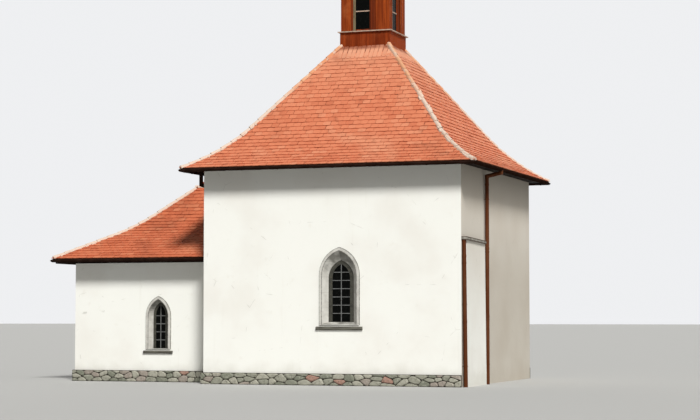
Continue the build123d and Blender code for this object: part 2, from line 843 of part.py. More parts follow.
# Nave roof
nave_eaves_span = (0, nave_eave_reach + upstand_setback + upstand_thickness)
gutter_span = (-gutter_radius * 2, fascia_setback)
nave_eaves = front_run(
    eaves_section(nave_profile, wall_height, nave_eave_reach), nave_eave_half, nave_eaves_span, mitre_gap / 2)
nave_gutter = front_run(gutter_section(nave_profile), nave_eave_half, gutter_span, mitre_gap / 2)
nave_slope = front_run(nave_profile.layer(-roof_thickness, 0), nave_eave_half, (0, nave_profile.run))
save("nave_eaves", *turned_to_four_sides(nave_eaves))
save("nave_gutters", *turned_to_four_sides(nave_gutter))
for side, slope in zip(("front", "right", "back", "left"), turned_to_four_sides(nave_slope)):
    save(f"nave_roof_{side}", slope)
save("nave_hip_caps", *turned_to_four_sides(nave_hip_cap()))

# Chancel roof
chancel_eaves_span = (0, chancel_eave_reach + upstand_setback + upstand_thickness)
chancel_eaves = eaves_section(chancel_profile, chancel_wall_height, chancel_eave_reach)
save("chancel_eaves", *chancel_runs(chancel_eaves, chancel_eaves_span))
save("chancel_gutters", *chancel_runs(gutter_section(chancel_profile), gutter_span))
save("chancel_roof_front", chancel_front_slope())
save("chancel_roof_back", mirrored(chancel_front_slope()))
save("chancel_roof_end", chancel_end_slope())
save("chancel_roof_caps", chancel_caps())
save("chancel_flashing", chancel_flashing())

# Windows and door
save("window_surrounds", *at_windows(nave_window.surround_piece(), chancel_window.surround_piece()))
save("window_sills", *at_windows(nave_window.sill_piece(), chancel_window.sill_piece()))
save("window_frames", *at_windows(nave_window.frame_piece(), chancel_window.frame_piece()))
save("window_glass", *at_windows(nave_window.glass_piece(), chancel_window.glass_piece()))
save("door_surround", door_surround_piece())
save("door_leaf", door_place * door.prism((surround_depth, surround_depth + door_leaf_thickness)))

# Downpipes
save("right_downpipe", right_downpipe())
save("left_downpipe", left_downpipe())
save("corner_downpipe", corner_downpipe())

# Lantern
save("lantern_skirt", square_ring(lantern_half, lantern_half - skirt_thickness, (skirt_foot, skirt_top)))
save("lantern_sill_trim", sill_trim())
save("lantern_posts", corner_posts())
save("lantern_panels", *[side for panel in panels() for side in turned_to_four_sides(panel)])
save("lantern_window_frames", *turned_to_four_sides(lantern_frame()))
save("lantern_window_glass", *turned_to_four_sides(lantern_glass()))
save("lantern_cornice", cornice())
save("lantern_roof", lantern_roof())
save("finial", finial())
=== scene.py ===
# %% [markdown]
# A small church in limewashed render: a tall square nave under a bell-cast tiled roof with a
# timber lantern, and a lower chancel beside it. The frame holds walls, roofs, windows and pipes at
# their real size. What follows gives them their tiles, stones, boards, bars and finishes.

# %% Load the frame
import json
import math
import random

import bmesh
import bpy
from mathutils import Matrix, Vector


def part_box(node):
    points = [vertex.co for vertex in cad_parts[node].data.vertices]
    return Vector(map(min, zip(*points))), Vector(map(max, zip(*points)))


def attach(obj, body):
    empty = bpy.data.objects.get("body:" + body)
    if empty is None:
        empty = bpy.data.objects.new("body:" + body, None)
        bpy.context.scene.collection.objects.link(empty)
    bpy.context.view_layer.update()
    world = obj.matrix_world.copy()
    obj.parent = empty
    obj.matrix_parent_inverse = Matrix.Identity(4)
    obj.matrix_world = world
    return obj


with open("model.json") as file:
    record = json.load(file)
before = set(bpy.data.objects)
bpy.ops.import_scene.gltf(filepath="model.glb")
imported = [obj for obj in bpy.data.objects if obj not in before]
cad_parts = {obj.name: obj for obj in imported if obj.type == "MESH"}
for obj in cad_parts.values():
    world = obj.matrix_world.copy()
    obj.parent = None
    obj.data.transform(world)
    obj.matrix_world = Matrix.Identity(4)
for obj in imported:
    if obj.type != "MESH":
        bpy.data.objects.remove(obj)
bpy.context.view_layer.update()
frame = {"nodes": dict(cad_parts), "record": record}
nodes = frame["nodes"]

# %% [markdown]
# Finishes and repeated pieces are both made of nodes. A small class lets the numbers on node links
# be added and multiplied like any others, so a finish reads as a sum and not as a list of links.

# %% Arithmetic on node links
def operator(operation):
    """What a sign does to a value: one Math node with the value and any other."""
    return lambda link, *others: link.nodes.maths(operation, link, *others)


class Link:
    """A value that comes out of a node."""

    def __init__(self, nodes, socket):
        self.nodes = nodes
        self.socket = socket

    __add__ = __radd__ = operator("ADD")
    __mul__ = __rmul__ = operator("MULTIPLY")
    __sub__ = operator("SUBTRACT")
    __truediv__ = operator("DIVIDE")
    __mod__ = operator("FLOORED_MODULO")
    __abs__ = operator("ABSOLUTE")
    above = operator("GREATER_THAN")

    def __rsub__(self, other):
        return self.nodes.maths("SUBTRACT", other, self)

    def ramp(self, low, high):
        """A smooth rise from nought at one value to one at another."""
        slots = {"Value": self, "From Min": low, "From Max": high}
        return self.nodes.add("ShaderNodeMapRange", {"interpolation_type": "SMOOTHSTEP"}, slots)


class Nodes:
    """A node tree under construction."""

    def __init__(self, tree):
        self.tree = tree

    def add(self, kind, settings, inputs, output=0):
        """Add a node, give it its settings and inputs, and return one of its outputs."""
        node = self.tree.nodes.new(kind)
        for name, value in settings.items():
            setattr(node, name, value)
        self.feed(node, inputs)
        return Link(self, node.outputs[output])

    def feed(self, node, inputs):
        """Set a node's inputs, each to a value or to what comes out of another node."""
        for slot, value in inputs.items():
            if isinstance(value, Link):
                self.tree.links.new(value.socket, node.inputs[slot])
            else:
                node.inputs[slot].default_value = value

    def maths(self, operation, *values):
        """One Math node on numbers."""
        return self.add("ShaderNodeMath", {"operation": operation}, dict(enumerate(values)))

    def vector(self, operation, *values):
        """The same on vectors."""
        return self.add("ShaderNodeVectorMath", {"operation": operation}, dict(enumerate(values)))

    def axis(self, vector, name):
        """One of the three numbers of a vector."""
        return self.add("ShaderNodeSeparateXYZ", {}, {0: vector}, name)


# %% [markdown]
# Every finish works in metres on the piece itself, so its grain keeps its real size wherever the
# piece stands. Colours are written as they look on a screen, from 0 to 255, and turned into the
# linear values that light is reckoned in. A finish is built like the real one, as coats over a base.

# %% Tools for finishes
finishes = {}


def colour(red, green, blue):
    """A screen colour as linear light."""
    return tuple(((value / 255 + 0.055) / 1.055) ** 2.4 for value in (red, green, blue)) + (1,)


class Finish(Nodes):
    """A material under construction, kept in the table of finishes."""

    def __init__(self, name):
        self.name = name
        finishes[name] = bpy.data.materials.new(name)
        finishes[name].use_nodes = True
        super().__init__(finishes[name].node_tree)
        self.place = self.add("ShaderNodeTexCoord", {}, {}, "Object")
        self.height = self.axis(self.place, "Z")

    def noise(self, size, detail=3, stretch=(1, 1, 1), shift=0):
        """Soft noise from 0 to 1 with spots of a size in metres."""
        where = self.vector("MULTIPLY_ADD", self.place, stretch, (shift, shift, shift))
        return self.add("ShaderNodeTexNoise", {}, {"Vector": where, "Scale": 1 / size, "Detail": detail})

    def cells(self, size, feature, stretch=(1, 1, 1), output="Distance"):
        """Cells of a size in metres: the distance from their edges or centres, or their own colour."""
        slots = {"Vector": self.vector("MULTIPLY", self.place, stretch), "Scale": 1 / size}
        return self.add("ShaderNodeTexVoronoi", {"feature": feature}, slots, output)

    def facing(self, name):
        """How far the surface faces along one axis, whichever way."""
        return abs(self.axis(self.add("ShaderNodeNewGeometry", {}, {}, "Normal"), name))

    def attribute(self, name):
        """A number that the piece carries on its mesh."""
        return self.add("ShaderNodeAttribute", {"attribute_name": name}, {}, "Fac")

    def coats(self, base, *coats):
        """A base colour under coats, each a colour and the share of it that covers what is below."""
        for tint, share in coats:
            low, high = [side if isinstance(side, Link) else colour(*side) for side in (base, tint)]
            base = self.add("ShaderNodeMix", {"data_type": "RGBA"}, {0: share, 6: low, 7: high}, 2)
        return base

    def done(self, base, roughness, relief, sheen=0.25, **settings):
        """Join colour, roughness and relief in metres to the shader, with a uniform level of sheen."""
        settings["Specular IOR Level"] = sheen
        settings["Normal"] = self.add("ShaderNodeBump", {}, {"Height": relief, "Distance": 1.0})
        settings["Base Color"] = base
        settings["Roughness"] = roughness
        self.feed(self.tree.nodes["Principled BSDF"], settings)
        print("finish", self.name, len(self.tree.nodes), "nodes")


# %% [markdown]
# Lime render is thrown on rubble and never quite flat, and limewash goes over it in thin coats.
# Rain carries dirt down from the eaves and sills and splashes the foot of the wall. Shade is painted
# into the wash: a band of painted shade under the eaves, darker on the walls that face along X, those
# walls painted darker towards their top, and the nave's right wall painted darker and greyer towards
# its foot. Hairline cracks follow where the render has shrunk.

# %% Limewashed render
paint = Finish("plaster")
patches = paint.noise(1.9, 4)
blots = paint.noise(0.28, 4, shift=3)
grain = paint.noise(0.018, 2)
runs = paint.noise(0.16, 4, (1, 1, 0.06), 7)
splash = (paint.height + paint.noise(0.5, 4, shift=5) * 0.9).ramp(1.2, 0.45)
crack = paint.cells(1.6, "DISTANCE_TO_EDGE").ramp(0.005, 0.0) * blots.ramp(0.55, 0.66)
ends = paint.facing("X")
across = paint.axis(paint.place, "X")
right_wall = across.ramp(4.0, 4.06) * across.ramp(4.16, 4.1)
eaves = paint.height.ramp(5.3, 6.3)
white = paint.coats(
    (253, 253, 247),
    ((247, 245, 238), patches.ramp(0.42, 0.7)),
    ((236, 233, 224), blots.ramp(0.62, 0.82) * 0.4),
    ((226, 222, 212), runs.ramp(0.62, 0.88) * 0.3),
    ((196, 190, 176), splash * 0.35),
    # painted shade: walls facing along X are made darker towards their top
    ((206, 194, 178), ends * paint.height.ramp(0.8, 6.6) * (patches * 0.3 + 0.7)),
    # painted shade: the nave's right wall darker and greyer towards its foot
    ((190, 179, 163), right_wall * ends * paint.height.ramp(5.4, 3.0) * (patches * 0.3 + 0.6)),
    # painted shade under the eaves, darker still on the walls that face along X
    ((196, 192, 184), eaves * 0.4),
    ((160, 152, 140), eaves * ends * 0.6),
    ((150, 145, 134), crack * 0.4))
paint.done(white, grain.ramp(0.2, 0.8) * 0.15 + 0.8,
           patches * 0.006 + blots * 0.003 + grain * 0.001 - crack * 0.001)

# %% [markdown]
# The plinth is rubble from the fields around: grey and brown stones, here and there a red one,
# in a dark joint. Each stone carries its own number, which picks its colour.

# %% Rubble and joints
paint = Finish("plinth_stone")
own = paint.attribute("tint")
mottle = paint.noise(0.06, 5)
stone = paint.coats(
    (128, 130, 116),
    ((170, 168, 154), own.ramp(0.1, 0.7)),
    ((158, 148, 138), own.ramp(0.78, 0.82)),
    ((168, 132, 118), own.ramp(0.96, 0.97)),
    ((96, 96, 84), mottle.ramp(0.5, 0.75) * 0.6),
    ((190, 188, 176), mottle.ramp(0.42, 0.28) * 0.5))
paint.done(stone, 0.88, mottle * 0.012 + paint.noise(0.008) * 0.002)

paint = Finish("rubble_stone")
grit = paint.noise(0.012, 4)
bed = paint.coats(
    (44, 40, 36),
    ((84, 78, 70), grit.ramp(0.35, 0.7)),
    ((130, 126, 114), paint.noise(0.3).ramp(0.62, 0.78) * 0.4))
paint.done(bed, 0.92, grit * 0.006)

# %% [markdown]
# Indoors the floors are stone flags about half a metre across, each of its own shade, with sunk joints
# between them.

# %% Flagstones
paint = Finish("floor_stone")
flag = paint.cells(0.55, "F1", (1, 1, 0.01), "Color")
edge = paint.cells(0.55, "DISTANCE_TO_EDGE", (1, 1, 0.01))
worn = paint.noise(0.1, 5)
slab = paint.coats(
    (150, 144, 132),
    ((118, 112, 100), paint.axis(flag, "X")),
    ((92, 86, 76), worn.ramp(0.5, 0.75) * 0.5),
    ((60, 56, 50), edge.ramp(0.03, 0.008)))
paint.done(slab, 0.7, worn * 0.004 + edge.ramp(0.0, 0.03) * 0.006)

# %% [markdown]
# Window and door surrounds are cut sandstone in blocks about 0.45 m high, with a thin joint between
# them and tool marks across. Faces that turn up or down, as at the heads of the reveals, are painted
# darker in patches as painted shade.

# %% Dressed stone
paint = Finish("dressed_stone")
cloud = paint.noise(0.25, 5)
block = (paint.height / 0.46) % 1
joint = abs(block - 0.5).ramp(0.488, 0.497)
cut = paint.coats(
    (216, 214, 207),
    ((192, 189, 182), cloud.ramp(0.35, 0.7)),
    ((150, 147, 139), paint.noise(0.01, 4).ramp(0.55, 0.8) * 0.4),
    ((140, 136, 127), joint * 0.5),
    # painted shade on faces that turn up or down, such as the heads of the reveals
    ((96, 94, 88), paint.facing("Z").ramp(0.1, 0.5) * cloud.ramp(0.25, 0.6) * 0.7))
paint.done(cut, 0.82, cloud * 0.004 + paint.noise(0.012, 2, (1, 1, 4), 2) * 0.0015 - joint * 0.003)

# a dark joint, used also as a painted shade line inside the surrounds
paint = Finish("surround_joint")
dirt = paint.noise(0.06, 4)
paint.done(paint.coats((104, 102, 97), ((168, 165, 158), dirt.ramp(0.4, 0.7))), 0.9, dirt * 0.002)

# %% [markdown]
# The window sills are of a darker slate. The buttress coping is a rough slab that falls along the
# wall, spotted by lichen, with a painted shadow along its lower edge and painted shade along its upper
# edge.

# %% Sills and coping
paint = Finish("sill_stone")
cloud = paint.noise(0.2, 5, (0.5, 1, 3))
pores = paint.noise(0.008)
slate = paint.coats(
    (110, 108, 98),
    ((78, 75, 68), cloud.ramp(0.35, 0.65)),
    ((138, 135, 124), pores.ramp(0.62, 0.78) * 0.5))
paint.done(slate, pores.ramp(0.3, 0.7) * 0.3 + 0.55, cloud * 0.006 + pores * 0.001)

paint = Finish("coping_stone")
coping_foot, coping_top = 4.175, 4.27
cloud = paint.noise(0.18, 5)
level = paint.height + paint.axis(paint.place, "Y") * math.tan(math.radians(1.4)) + cloud * 0.012
# painted shadow under the coping's lower edge, and painted shade along its upper edge
lower_shadow_line = level.ramp(coping_foot + 0.039, coping_foot + 0.027)
upper_shade_line = level.ramp(coping_top - 0.028, coping_top - 0.016)
lichen = paint.cells(0.05, "F1").ramp(0.3, 0.16) * cloud.ramp(0.45, 0.6)
slab = paint.coats(
    (178, 175, 166),
    ((132, 128, 119), cloud.ramp(0.35, 0.65)),
    ((208, 204, 184), lichen * 0.6),
    ((84, 82, 74), paint.noise(0.05, 4).ramp(0.55, 0.75) * 0.6),
    ((78, 62, 52), (lower_shadow_line + upper_shade_line) * 0.85))
paint.done(slab, 0.9, cloud * 0.01 + paint.noise(0.01) * 0.002)

# %% [markdown]
# Plain clay tiles fire unevenly: most are orange red, some brown where the kiln was hot, a few pale.
# Weather darkens whole patches of a slope and lichen spots them. Each tile is painted darker towards
# its head, where it shows under the tails of the next course, as painted shade from those tails. Each
# tile carries its own number and how near a point is to its tail.

# %% Roof tiles
def tile_finish(name, fired, hot, pale, weathered, pale_share):
    """Fired clay with one colour for each tile, weathered in patches and bleached high up."""
    paint = Finish(name)
    own = paint.attribute("tint")
    tail = paint.attribute("tail")
    weather = paint.noise(1.5, 5)
    streaks = paint.noise(0.3, 4, (1, 1, 0.25), 4)
    specks = paint.noise(0.018, 4)
    clay = paint.coats(
        fired,
        (hot, own.ramp(0.5, 1.0) * 0.4),
        (pale, own.ramp(pale_share, 0.0) * 0.3),
        (pale, weather.ramp(0.46, 0.3) * 0.4),
        (pale, paint.height.ramp(8.5, 11.5) * 0.65),
        (weathered, weather.ramp(0.55, 0.75) * 0.3),
        (weathered, streaks.ramp(0.58, 0.8) * 0.3),
        # painted shade: darker towards each tile's head, where it shows under the tails of the next course
        (weathered, tail.ramp(0.42, 0.12) * (streaks.ramp(0.3, 0.62) * 0.5 + 0.45)),
        ((240, 214, 186), specks.ramp(0.68, 0.74) * 0.4))
    paint.done(clay, specks.ramp(0.3, 0.7) * 0.2 + 0.7, specks * 0.0025 + streaks * 0.002)


tile_finish("roof_tiles", (215, 129, 94), (190, 97, 65), (226, 162, 128), (116, 55, 35), 0.2)
tile_finish("chancel_tile", (204, 112, 76), (176, 84, 52), (220, 146, 108), (98, 46, 31), 0.15)
tile_finish("head_tile", (218, 142, 108), (190, 106, 74), (230, 172, 140), (140, 76, 52), 0.3)

# %% [markdown]
# Hip and ridge tiles are bedded in lime, which is wiped over them, most of all low down. Where the
# mortar itself shows between the caps and the slopes, brick dust has made it pink.

# %% Hip tiles and mortar
paint = Finish("hip_tile")
smears = paint.noise(0.22, 4)
crumbs = paint.noise(0.03, 4, shift=3)
lime = (222, 205, 190)
tile = paint.coats(
    (222, 168, 130),
    ((214, 138, 96), paint.attribute("tint").ramp(0.4, 1.0) * 0.7),
    (lime, smears.ramp(0.5, 0.6) * 0.6),
    (lime, (paint.height + smears * 1.5).ramp(10.2, 9.2) * 0.85),
    ((150, 92, 64), crumbs.ramp(0.62, 0.74) * 0.5))
paint.done(tile, 0.85, smears * 0.006 + crumbs * 0.004)

paint = Finish("lime_mortar")
crumbs = paint.noise(0.03, 5)
mortar = paint.coats(
    (170, 104, 80),
    ((206, 168, 140), paint.noise(0.35, 4).ramp(0.45, 0.65)),
    ((112, 66, 50), crumbs.ramp(0.48, 0.68) * 0.7))
paint.done(mortar, 0.93, crumbs * 0.012)

# %% [markdown]
# Timber on the lantern is stained orange brown and has greyed and darkened along the grain, which
# runs up the boards. The eaves are stained nearly black. The door is oak.

# %% Timber
def timber_finish(name, light, dark, weathered, grain_along=(1, 1, 0.04), painted_side_light=0.0):
    """Boards with grain along one direction, a weathered bloom, and painted light on the sides along X."""
    paint = Finish(name)
    grain = paint.noise(0.02, 6, grain_along)
    bands = paint.noise(0.09, 4, grain_along, 5)
    bloom = paint.noise(0.4, 4, shift=2)
    checks = paint.noise(0.006, 2, grain_along, 8).ramp(0.66, 0.78)
    wood = paint.coats(
        light,
        (dark, bands.ramp(0.3, 0.7)),
        (dark, grain.ramp(0.45, 0.75) * 0.7),
        (dark, paint.attribute("tint") * 0.8),
        # painted light: the two sides that face along X are made lighter
        (light, paint.facing("X") * painted_side_light),
        (weathered, bloom.ramp(0.5, 0.75) * 0.55),
        ((24, 14, 9), checks * 0.6))
    paint.done(wood, grain.ramp(0.2, 0.8) * 0.2 + 0.62, grain * 0.003 - checks * 0.001, 0.08)


timber_finish("orange_timber", (192, 89, 34), (112, 43, 14), (172, 92, 48))
# the skirt carries painted light on its sides along X
timber_finish("skirt_timber", (162, 70, 28), (108, 39, 12), (142, 72, 38), painted_side_light=0.6)
timber_finish("panel_timber", (140, 58, 24), (88, 34, 14), (108, 58, 34))
timber_finish("eaves_timber", (42, 30, 24), (22, 16, 13), (54, 41, 33), (0.04, 0.04, 1))
timber_finish("door_oak", (112, 74, 44), (66, 42, 25), (136, 112, 88))

# %% [markdown]
# Window frames and their bars are painted grey, and the lantern's sill trim, bars and jambs in pale
# colours that are flaking.

# %% Paint
def paint_finish(name, coat, dirty, bare):
    """Oil paint on timber: brush marks, dirt, and spots where it has flaked off."""
    paint = Finish(name)
    brush = paint.noise(0.012, 3, (1, 1, 0.08))
    flakes = paint.noise(0.035, 5, shift=6).ramp(0.62, 0.68)
    skin = paint.coats(coat, (dirty, paint.noise(0.1, 5).ramp(0.4, 0.75)), (bare, flakes * 0.8))
    paint.done(skin, flakes * 0.35 + 0.5, brush * 0.0006 - flakes * 0.0008)


paint_finish("grey_timber", (70, 69, 62), (48, 47, 42), (96, 88, 74))
paint_finish("bar_paint", (120, 121, 120), (90, 90, 88), (96, 88, 78))
paint_finish("pale_timber", (196, 172, 154), (150, 128, 110), (140, 92, 62))
paint_finish("jamb_paint", (124, 112, 86), (96, 84, 62), (120, 78, 48))

# %% [markdown]
# Gutters and pipes are sheet metal, painted once and dulled since. The coat chalks in patches, rust
# creeps from its breaks and dust settles in streaks. The finial is wrought iron, nearly black.

# %% Metal
def metal_finish(name, coat, dull, rust, rusty, sheen=0.06, metallic=0.0):
    """Painted metal with chalking, rust above a level of noise, and dents."""
    paint = Finish(name)
    chalk = paint.noise(0.25, 5, (1, 1, 0.4))
    streaks = paint.noise(0.05, 4, (1, 1, 0.05), 3)
    rusted = paint.noise(0.03, 5, shift=9).ramp(rusty, rusty + 0.1)
    skin = paint.coats(
        coat,
        (dull, chalk.ramp(0.4, 0.7)),
        (dull, streaks.ramp(0.5, 0.8) * 0.6),
        (rust, rusted * 0.8))
    rough = chalk.ramp(0.3, 0.7) * 0.2 + rusted * 0.3 + 0.42
    paint.done(skin, rough, chalk * 0.002 + rusted * 0.0006, sheen, Metallic=metallic)


metal_finish("dark_sheet_metal", (38, 25, 20), (50, 34, 28), (76, 42, 28), 0.64, 0.0)
metal_finish("brown_sheet_metal", (88, 47, 26), (98, 58, 36), (58, 29, 18), 0.64)
metal_finish("wrought_iron", (38, 36, 36), (58, 54, 52), (96, 54, 36), 0.58, metallic=0.6)

# %% [markdown]
# The glass is old and faces a dark room, so it looks nearly black from outside. It is slightly wavy,
# with a film of dust.

# %% Glass
paint = Finish("pane_glass")
dust = paint.noise(0.08, 5)
film = paint.coats((10, 11, 10), ((32, 33, 32), dust.ramp(0.5, 0.85) * 0.5))
paint.done(film, dust.ramp(0.4, 0.8) * 0.2 + 0.2, paint.noise(0.35, 2) * 0.003, 0.1, IOR=1.2)

# %% [markdown]
# Every node of the frame names the material slot that it is made of, and gets that slot's finish. Only
# the lantern's window frames differ: they were stained with the panels around them, not painted.

# %% Finish the frame's own nodes
for part in frame["record"]["subparts"]:
    node = nodes[part["node"]]
    finish = finishes[part["material_slot"]]
    if part["node"] == "lantern_window_frames":
        finish = finishes["panel_timber"]
    if node.material_slots:
        node.material_slots[0].material = finish
    else:
        node.data.materials.append(finish)
print(len(finishes), "finishes on", len(nodes), "nodes and on what follows")

# %% [markdown]
# All the added pieces are fixed to the church's one body, and the faces of each are turned outwards
# before it is handed over.

# %% Tools for meshes
def placed(name, data):
    """A new object in the scene with a mesh, a lamp or a camera."""
    made = bpy.data.objects.new(name, data)
    bpy.context.collection.objects.link(made)
    return made


def mesh_object(name, points, edges, faces):
    """An object from its points, edges and faces."""
    mesh = bpy.data.meshes.new(name)
    mesh.from_pydata(points, edges, faces)
    return placed(name, mesh)


def outside_in(bm):
    """Turn every face of a mesh outwards."""
    bmesh.ops.recalc_face_normals(bm, faces=bm.faces)


def piece_from(name, mesh):
    """A finished piece that rides on the church."""
    mesh.name = name
    made = placed(name, mesh)
    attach(made, "root")
    print(name, len(mesh.polygons), "faces")


def about_z(degrees):
    """A turn about the church's upright axis."""
    return Matrix.Rotation(math.radians(degrees), 4, "Z")


# %% [markdown]
# What repeats along a line, such as the courses of a roof or the tiles of a hip, is laid by geometry
# nodes: a chain of points says where the line runs, and named inputs give gauge, width and slack.
# The result is turned into a plain mesh, so each piece can be trimmed and carried like any other.

# %% Tools for patterns
class Pattern(Nodes):
    """A geometry node tree that turns a chain of points into a piece."""

    def __init__(self, name, inputs):
        super().__init__(bpy.data.node_groups.new(name, "GeometryNodeTree"))
        face = self.tree.interface
        face.new_socket("Guide", in_out="INPUT", socket_type="NodeSocketGeometry")
        face.new_socket("Piece", in_out="OUTPUT", socket_type="NodeSocketGeometry")
        self.names = {
            key: face.new_socket(key, in_out="INPUT", socket_type="NodeSocket" + kind).identifier
            for key, kind in inputs.items()}
        self.group = self.tree.nodes.new("NodeGroupInput")

    def given(self, name):
        """One of the pattern's inputs."""
        return Link(self, self.group.outputs[name])

    def combine(self, x, y, z):
        return self.add("ShaderNodeCombineXYZ", {}, {0: x, 1: y, 2: z})

    def random(self, low, high, shift):
        """A number between two limits that differs for each point."""
        slots = {2: low, 3: high, "Seed": self.given("Seed") + shift}
        return self.add("FunctionNodeRandomValue", {"data_type": "FLOAT"}, slots, 1)

    def store(self, geometry, name, value, kind, domain):
        """Carry a value along on the geometry."""
        settings = {"data_type": kind, "domain": domain}
        slots = {"Geometry": geometry, "Name": name, "Value": value}
        return self.add("GeometryNodeStoreNamedAttribute", settings, slots)

    def points_along(self, primary, secondary):
        """Points at equal steps along the guide, each with the way its piece lies."""
        curve = self.add("GeometryNodeMeshToCurve", {}, {0: self.given("Guide")})
        slots = {"Curve": curve, "Length": self.given("Gauge")}
        points = self.add("GeometryNodeCurveToPoints", {"mode": "LENGTH"}, slots)
        tangent = Link(self, points.socket.node.outputs["Tangent"])
        axes = {"Primary Axis": primary or tangent, "Secondary Axis": secondary or tangent}
        settings = {"primary_axis": "X" if primary else "Y", "secondary_axis": "Y" if primary else "Z"}
        lie = self.add("FunctionNodeAxesToRotation", settings, axes)
        return self.store(points, "lie", lie, "QUATERNION", "POINT")

    def lay(self, points):
        """Put the input's tile on each point, a little askew, and end the tree."""
        slots = {"Object": self.given("Tile")}
        tile = self.add("GeometryNodeObjectInfo", {"transform_space": "ORIGINAL"}, slots, "Geometry")
        twist = self.combine(*[self.random(-1, 1, shift) * self.given("Slack") for shift in (1, 2, 3)])
        askew = self.add("FunctionNodeEulerToRotation", {}, {0: twist})
        lie = self.add("GeometryNodeInputNamedAttribute", {"data_type": "QUATERNION"}, {"Name": "lie"})
        lie = self.add("FunctionNodeRotateRotation", {"rotation_space": "LOCAL"}, {0: lie, 1: askew})
        slots = {"Points": points, "Instance": tile, "Rotation": lie}
        tiles = self.add("GeometryNodeInstanceOnPoints", {}, slots)
        tiles = self.store(tiles, "tint", self.random(0, 1, 4), "FLOAT", "INSTANCE")
        piece = self.add("GeometryNodeRealizeInstances", {}, {0: tiles})
        piece = self.add("GeometryNodeSetMaterial", {}, {0: piece, "Material": self.given("Finish")})
        self.tree.links.new(piece.socket, self.tree.nodes.new("NodeGroupOutput").inputs[0])
        print("pattern", self.tree.name, len(self.tree.nodes), "nodes")

    def make(self, chain, values):
        """The pattern laid along one chain of points, as a mesh."""
        steps = [(index, index + 1) for index in range(len(chain) - 1)]
        guide = mesh_object("guide", chain, steps, [])
        modifier = guide.modifiers.new("pattern", "NODES")
        modifier.node_group = self.tree
        for name, value in values.items():
            modifier[self.names[name]] = value
        shown = guide.evaluated_get(bpy.context.evaluated_depsgraph_get())
        mesh = bpy.data.meshes.new_from_object(shown)
        bpy.data.objects.remove(guide)
        return mesh


# %% [markdown]
# A bell-cast roof kicks out over the eaves: a straight foot, a gentle bend and a straight main slope.
# The tiles follow that line, so it is worked out here from the same sizes as the frame's slopes, with
# the level of the nose and the reach of the eaves read from the frame.

# %% Roof lines
class BellCast:
    """The line of a roof from its nose inwards, about an axis that its slopes share."""

    def __init__(self, node, thickness, foot_run, foot_angle, bend_radius, main_angle):
        self.foot = math.radians(foot_angle)
        self.main = math.radians(main_angle)
        self.foot_run = foot_run
        self.radius = bend_radius
        self.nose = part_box(node)[0][2] + thickness * math.cos(self.foot)
        self.centre = foot_run - bend_radius * math.sin(self.foot)
        self.level = self.nose + foot_run * math.tan(self.foot) + bend_radius * math.cos(self.foot)
        self.bend_end = self.centre + bend_radius * math.sin(self.main)

    def height(self, run):
        """Height of the roof's surface at a distance in from the nose."""
        if run < self.foot_run:
            return self.nose + run * math.tan(self.foot)
        if run < self.bend_end:
            return self.level - math.sqrt(self.radius**2 - (run - self.centre) ** 2)
        end = self.level - self.radius * math.cos(self.main)
        return end + (run - self.bend_end) * math.tan(self.main)

    def line(self, eave_half, start, end, step=0.08):
        """Points of the front slope's line from one run to another."""
        count = max(2, round((end - start) / step))
        runs = [start + (end - start) * index / count for index in range(count + 1)]
        return [(0, run - eave_half, self.height(run)) for run in runs]

    def hip(self, eave_half, start, end, step=0.08):
        """The same along the front left hip."""
        return [(y, y, z) for x, y, z in self.line(eave_half, start, end, step)]


nave_roof = BellCast(
    "nave_roof_front", thickness=0.07, foot_run=0.15, foot_angle=29, bend_radius=5.0, main_angle=51.4)
chancel_roof = BellCast(
    "chancel_roof_front", thickness=0.07, foot_run=1.4, foot_angle=28, bend_radius=5.0, main_angle=42)
lantern_roof = BellCast(
    "lantern_roof", thickness=0.05, foot_run=0.05, foot_angle=35, bend_radius=1.5, main_angle=58)
nave_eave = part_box("nave_roof_front")[1][0]
nave_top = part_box("lantern_skirt")[1][0]
nave_run = nave_eave - nave_top
chancel_eave = -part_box("chancel_roof_front")[0][1]
chancel_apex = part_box("chancel_roof_front")[0][0] + chancel_eave
chancel_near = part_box("chancel_roof_front")[1][0] - chancel_apex
lantern_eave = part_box("lantern_roof")[1][0]
for name, roof, run in (("nave", nave_roof, nave_run), ("chancel", chancel_roof, chancel_eave)):
    print(name, "nose at", round(roof.nose, 3), "top at", round(roof.height(run), 3))

# %% [markdown]
# A plain tile is a flat slab of clay with a rounded tail. It lies on the course below, so its tail
# stands up by the thickness of a tile, and it dips under the next course at its head. A hip tile is
# half round and narrows to its head, which the next one covers. The meshes have only the corners that
# show, because there are thousands of tiles.

# %% Roof tile, hip tile
tile_gauge = 0.173
small_gauge = 0.11
long_gauge = 0.52
hip_gauge = 0.38
small_hip_gauge = 0.2


def tail_attribute(made, gauge):
    """Write on each point how near it is to the tail."""
    values = [max(0.0, 1 - vertex.co.y / gauge) for vertex in made.data.vertices]
    made.data.attributes.new("tail", "FLOAT", "POINT").data.foreach_set("value", values)


def plain_tile(name, width, gauge, lap, thickness, rounding, corners=6):
    """A tile with its tail at the origin, its head along +Y and its face up."""
    head = gauge + lap
    tail = [((2 * i / corners - 1), (2 * i / corners - 1) ** 2) for i in range(corners + 1)]
    plan = [(x * width / 2, y * rounding) for x, y in tail] + [(width / 2, head), (-width / 2, head)]
    under = [(x, y, thickness * (1 - y / gauge)) for x, y in plan]
    over = [(x, y, z + thickness) for x, y, z in under]
    count = len(plan)
    sides = [(i, (i + 1) % count, (i + 1) % count + count, i + count) for i in range(count)]
    faces = [tuple(reversed(range(count))), tuple(range(count, 2 * count))] + sides
    made = mesh_object(name, under + over, [], faces)
    tail_attribute(made, gauge)
    return made


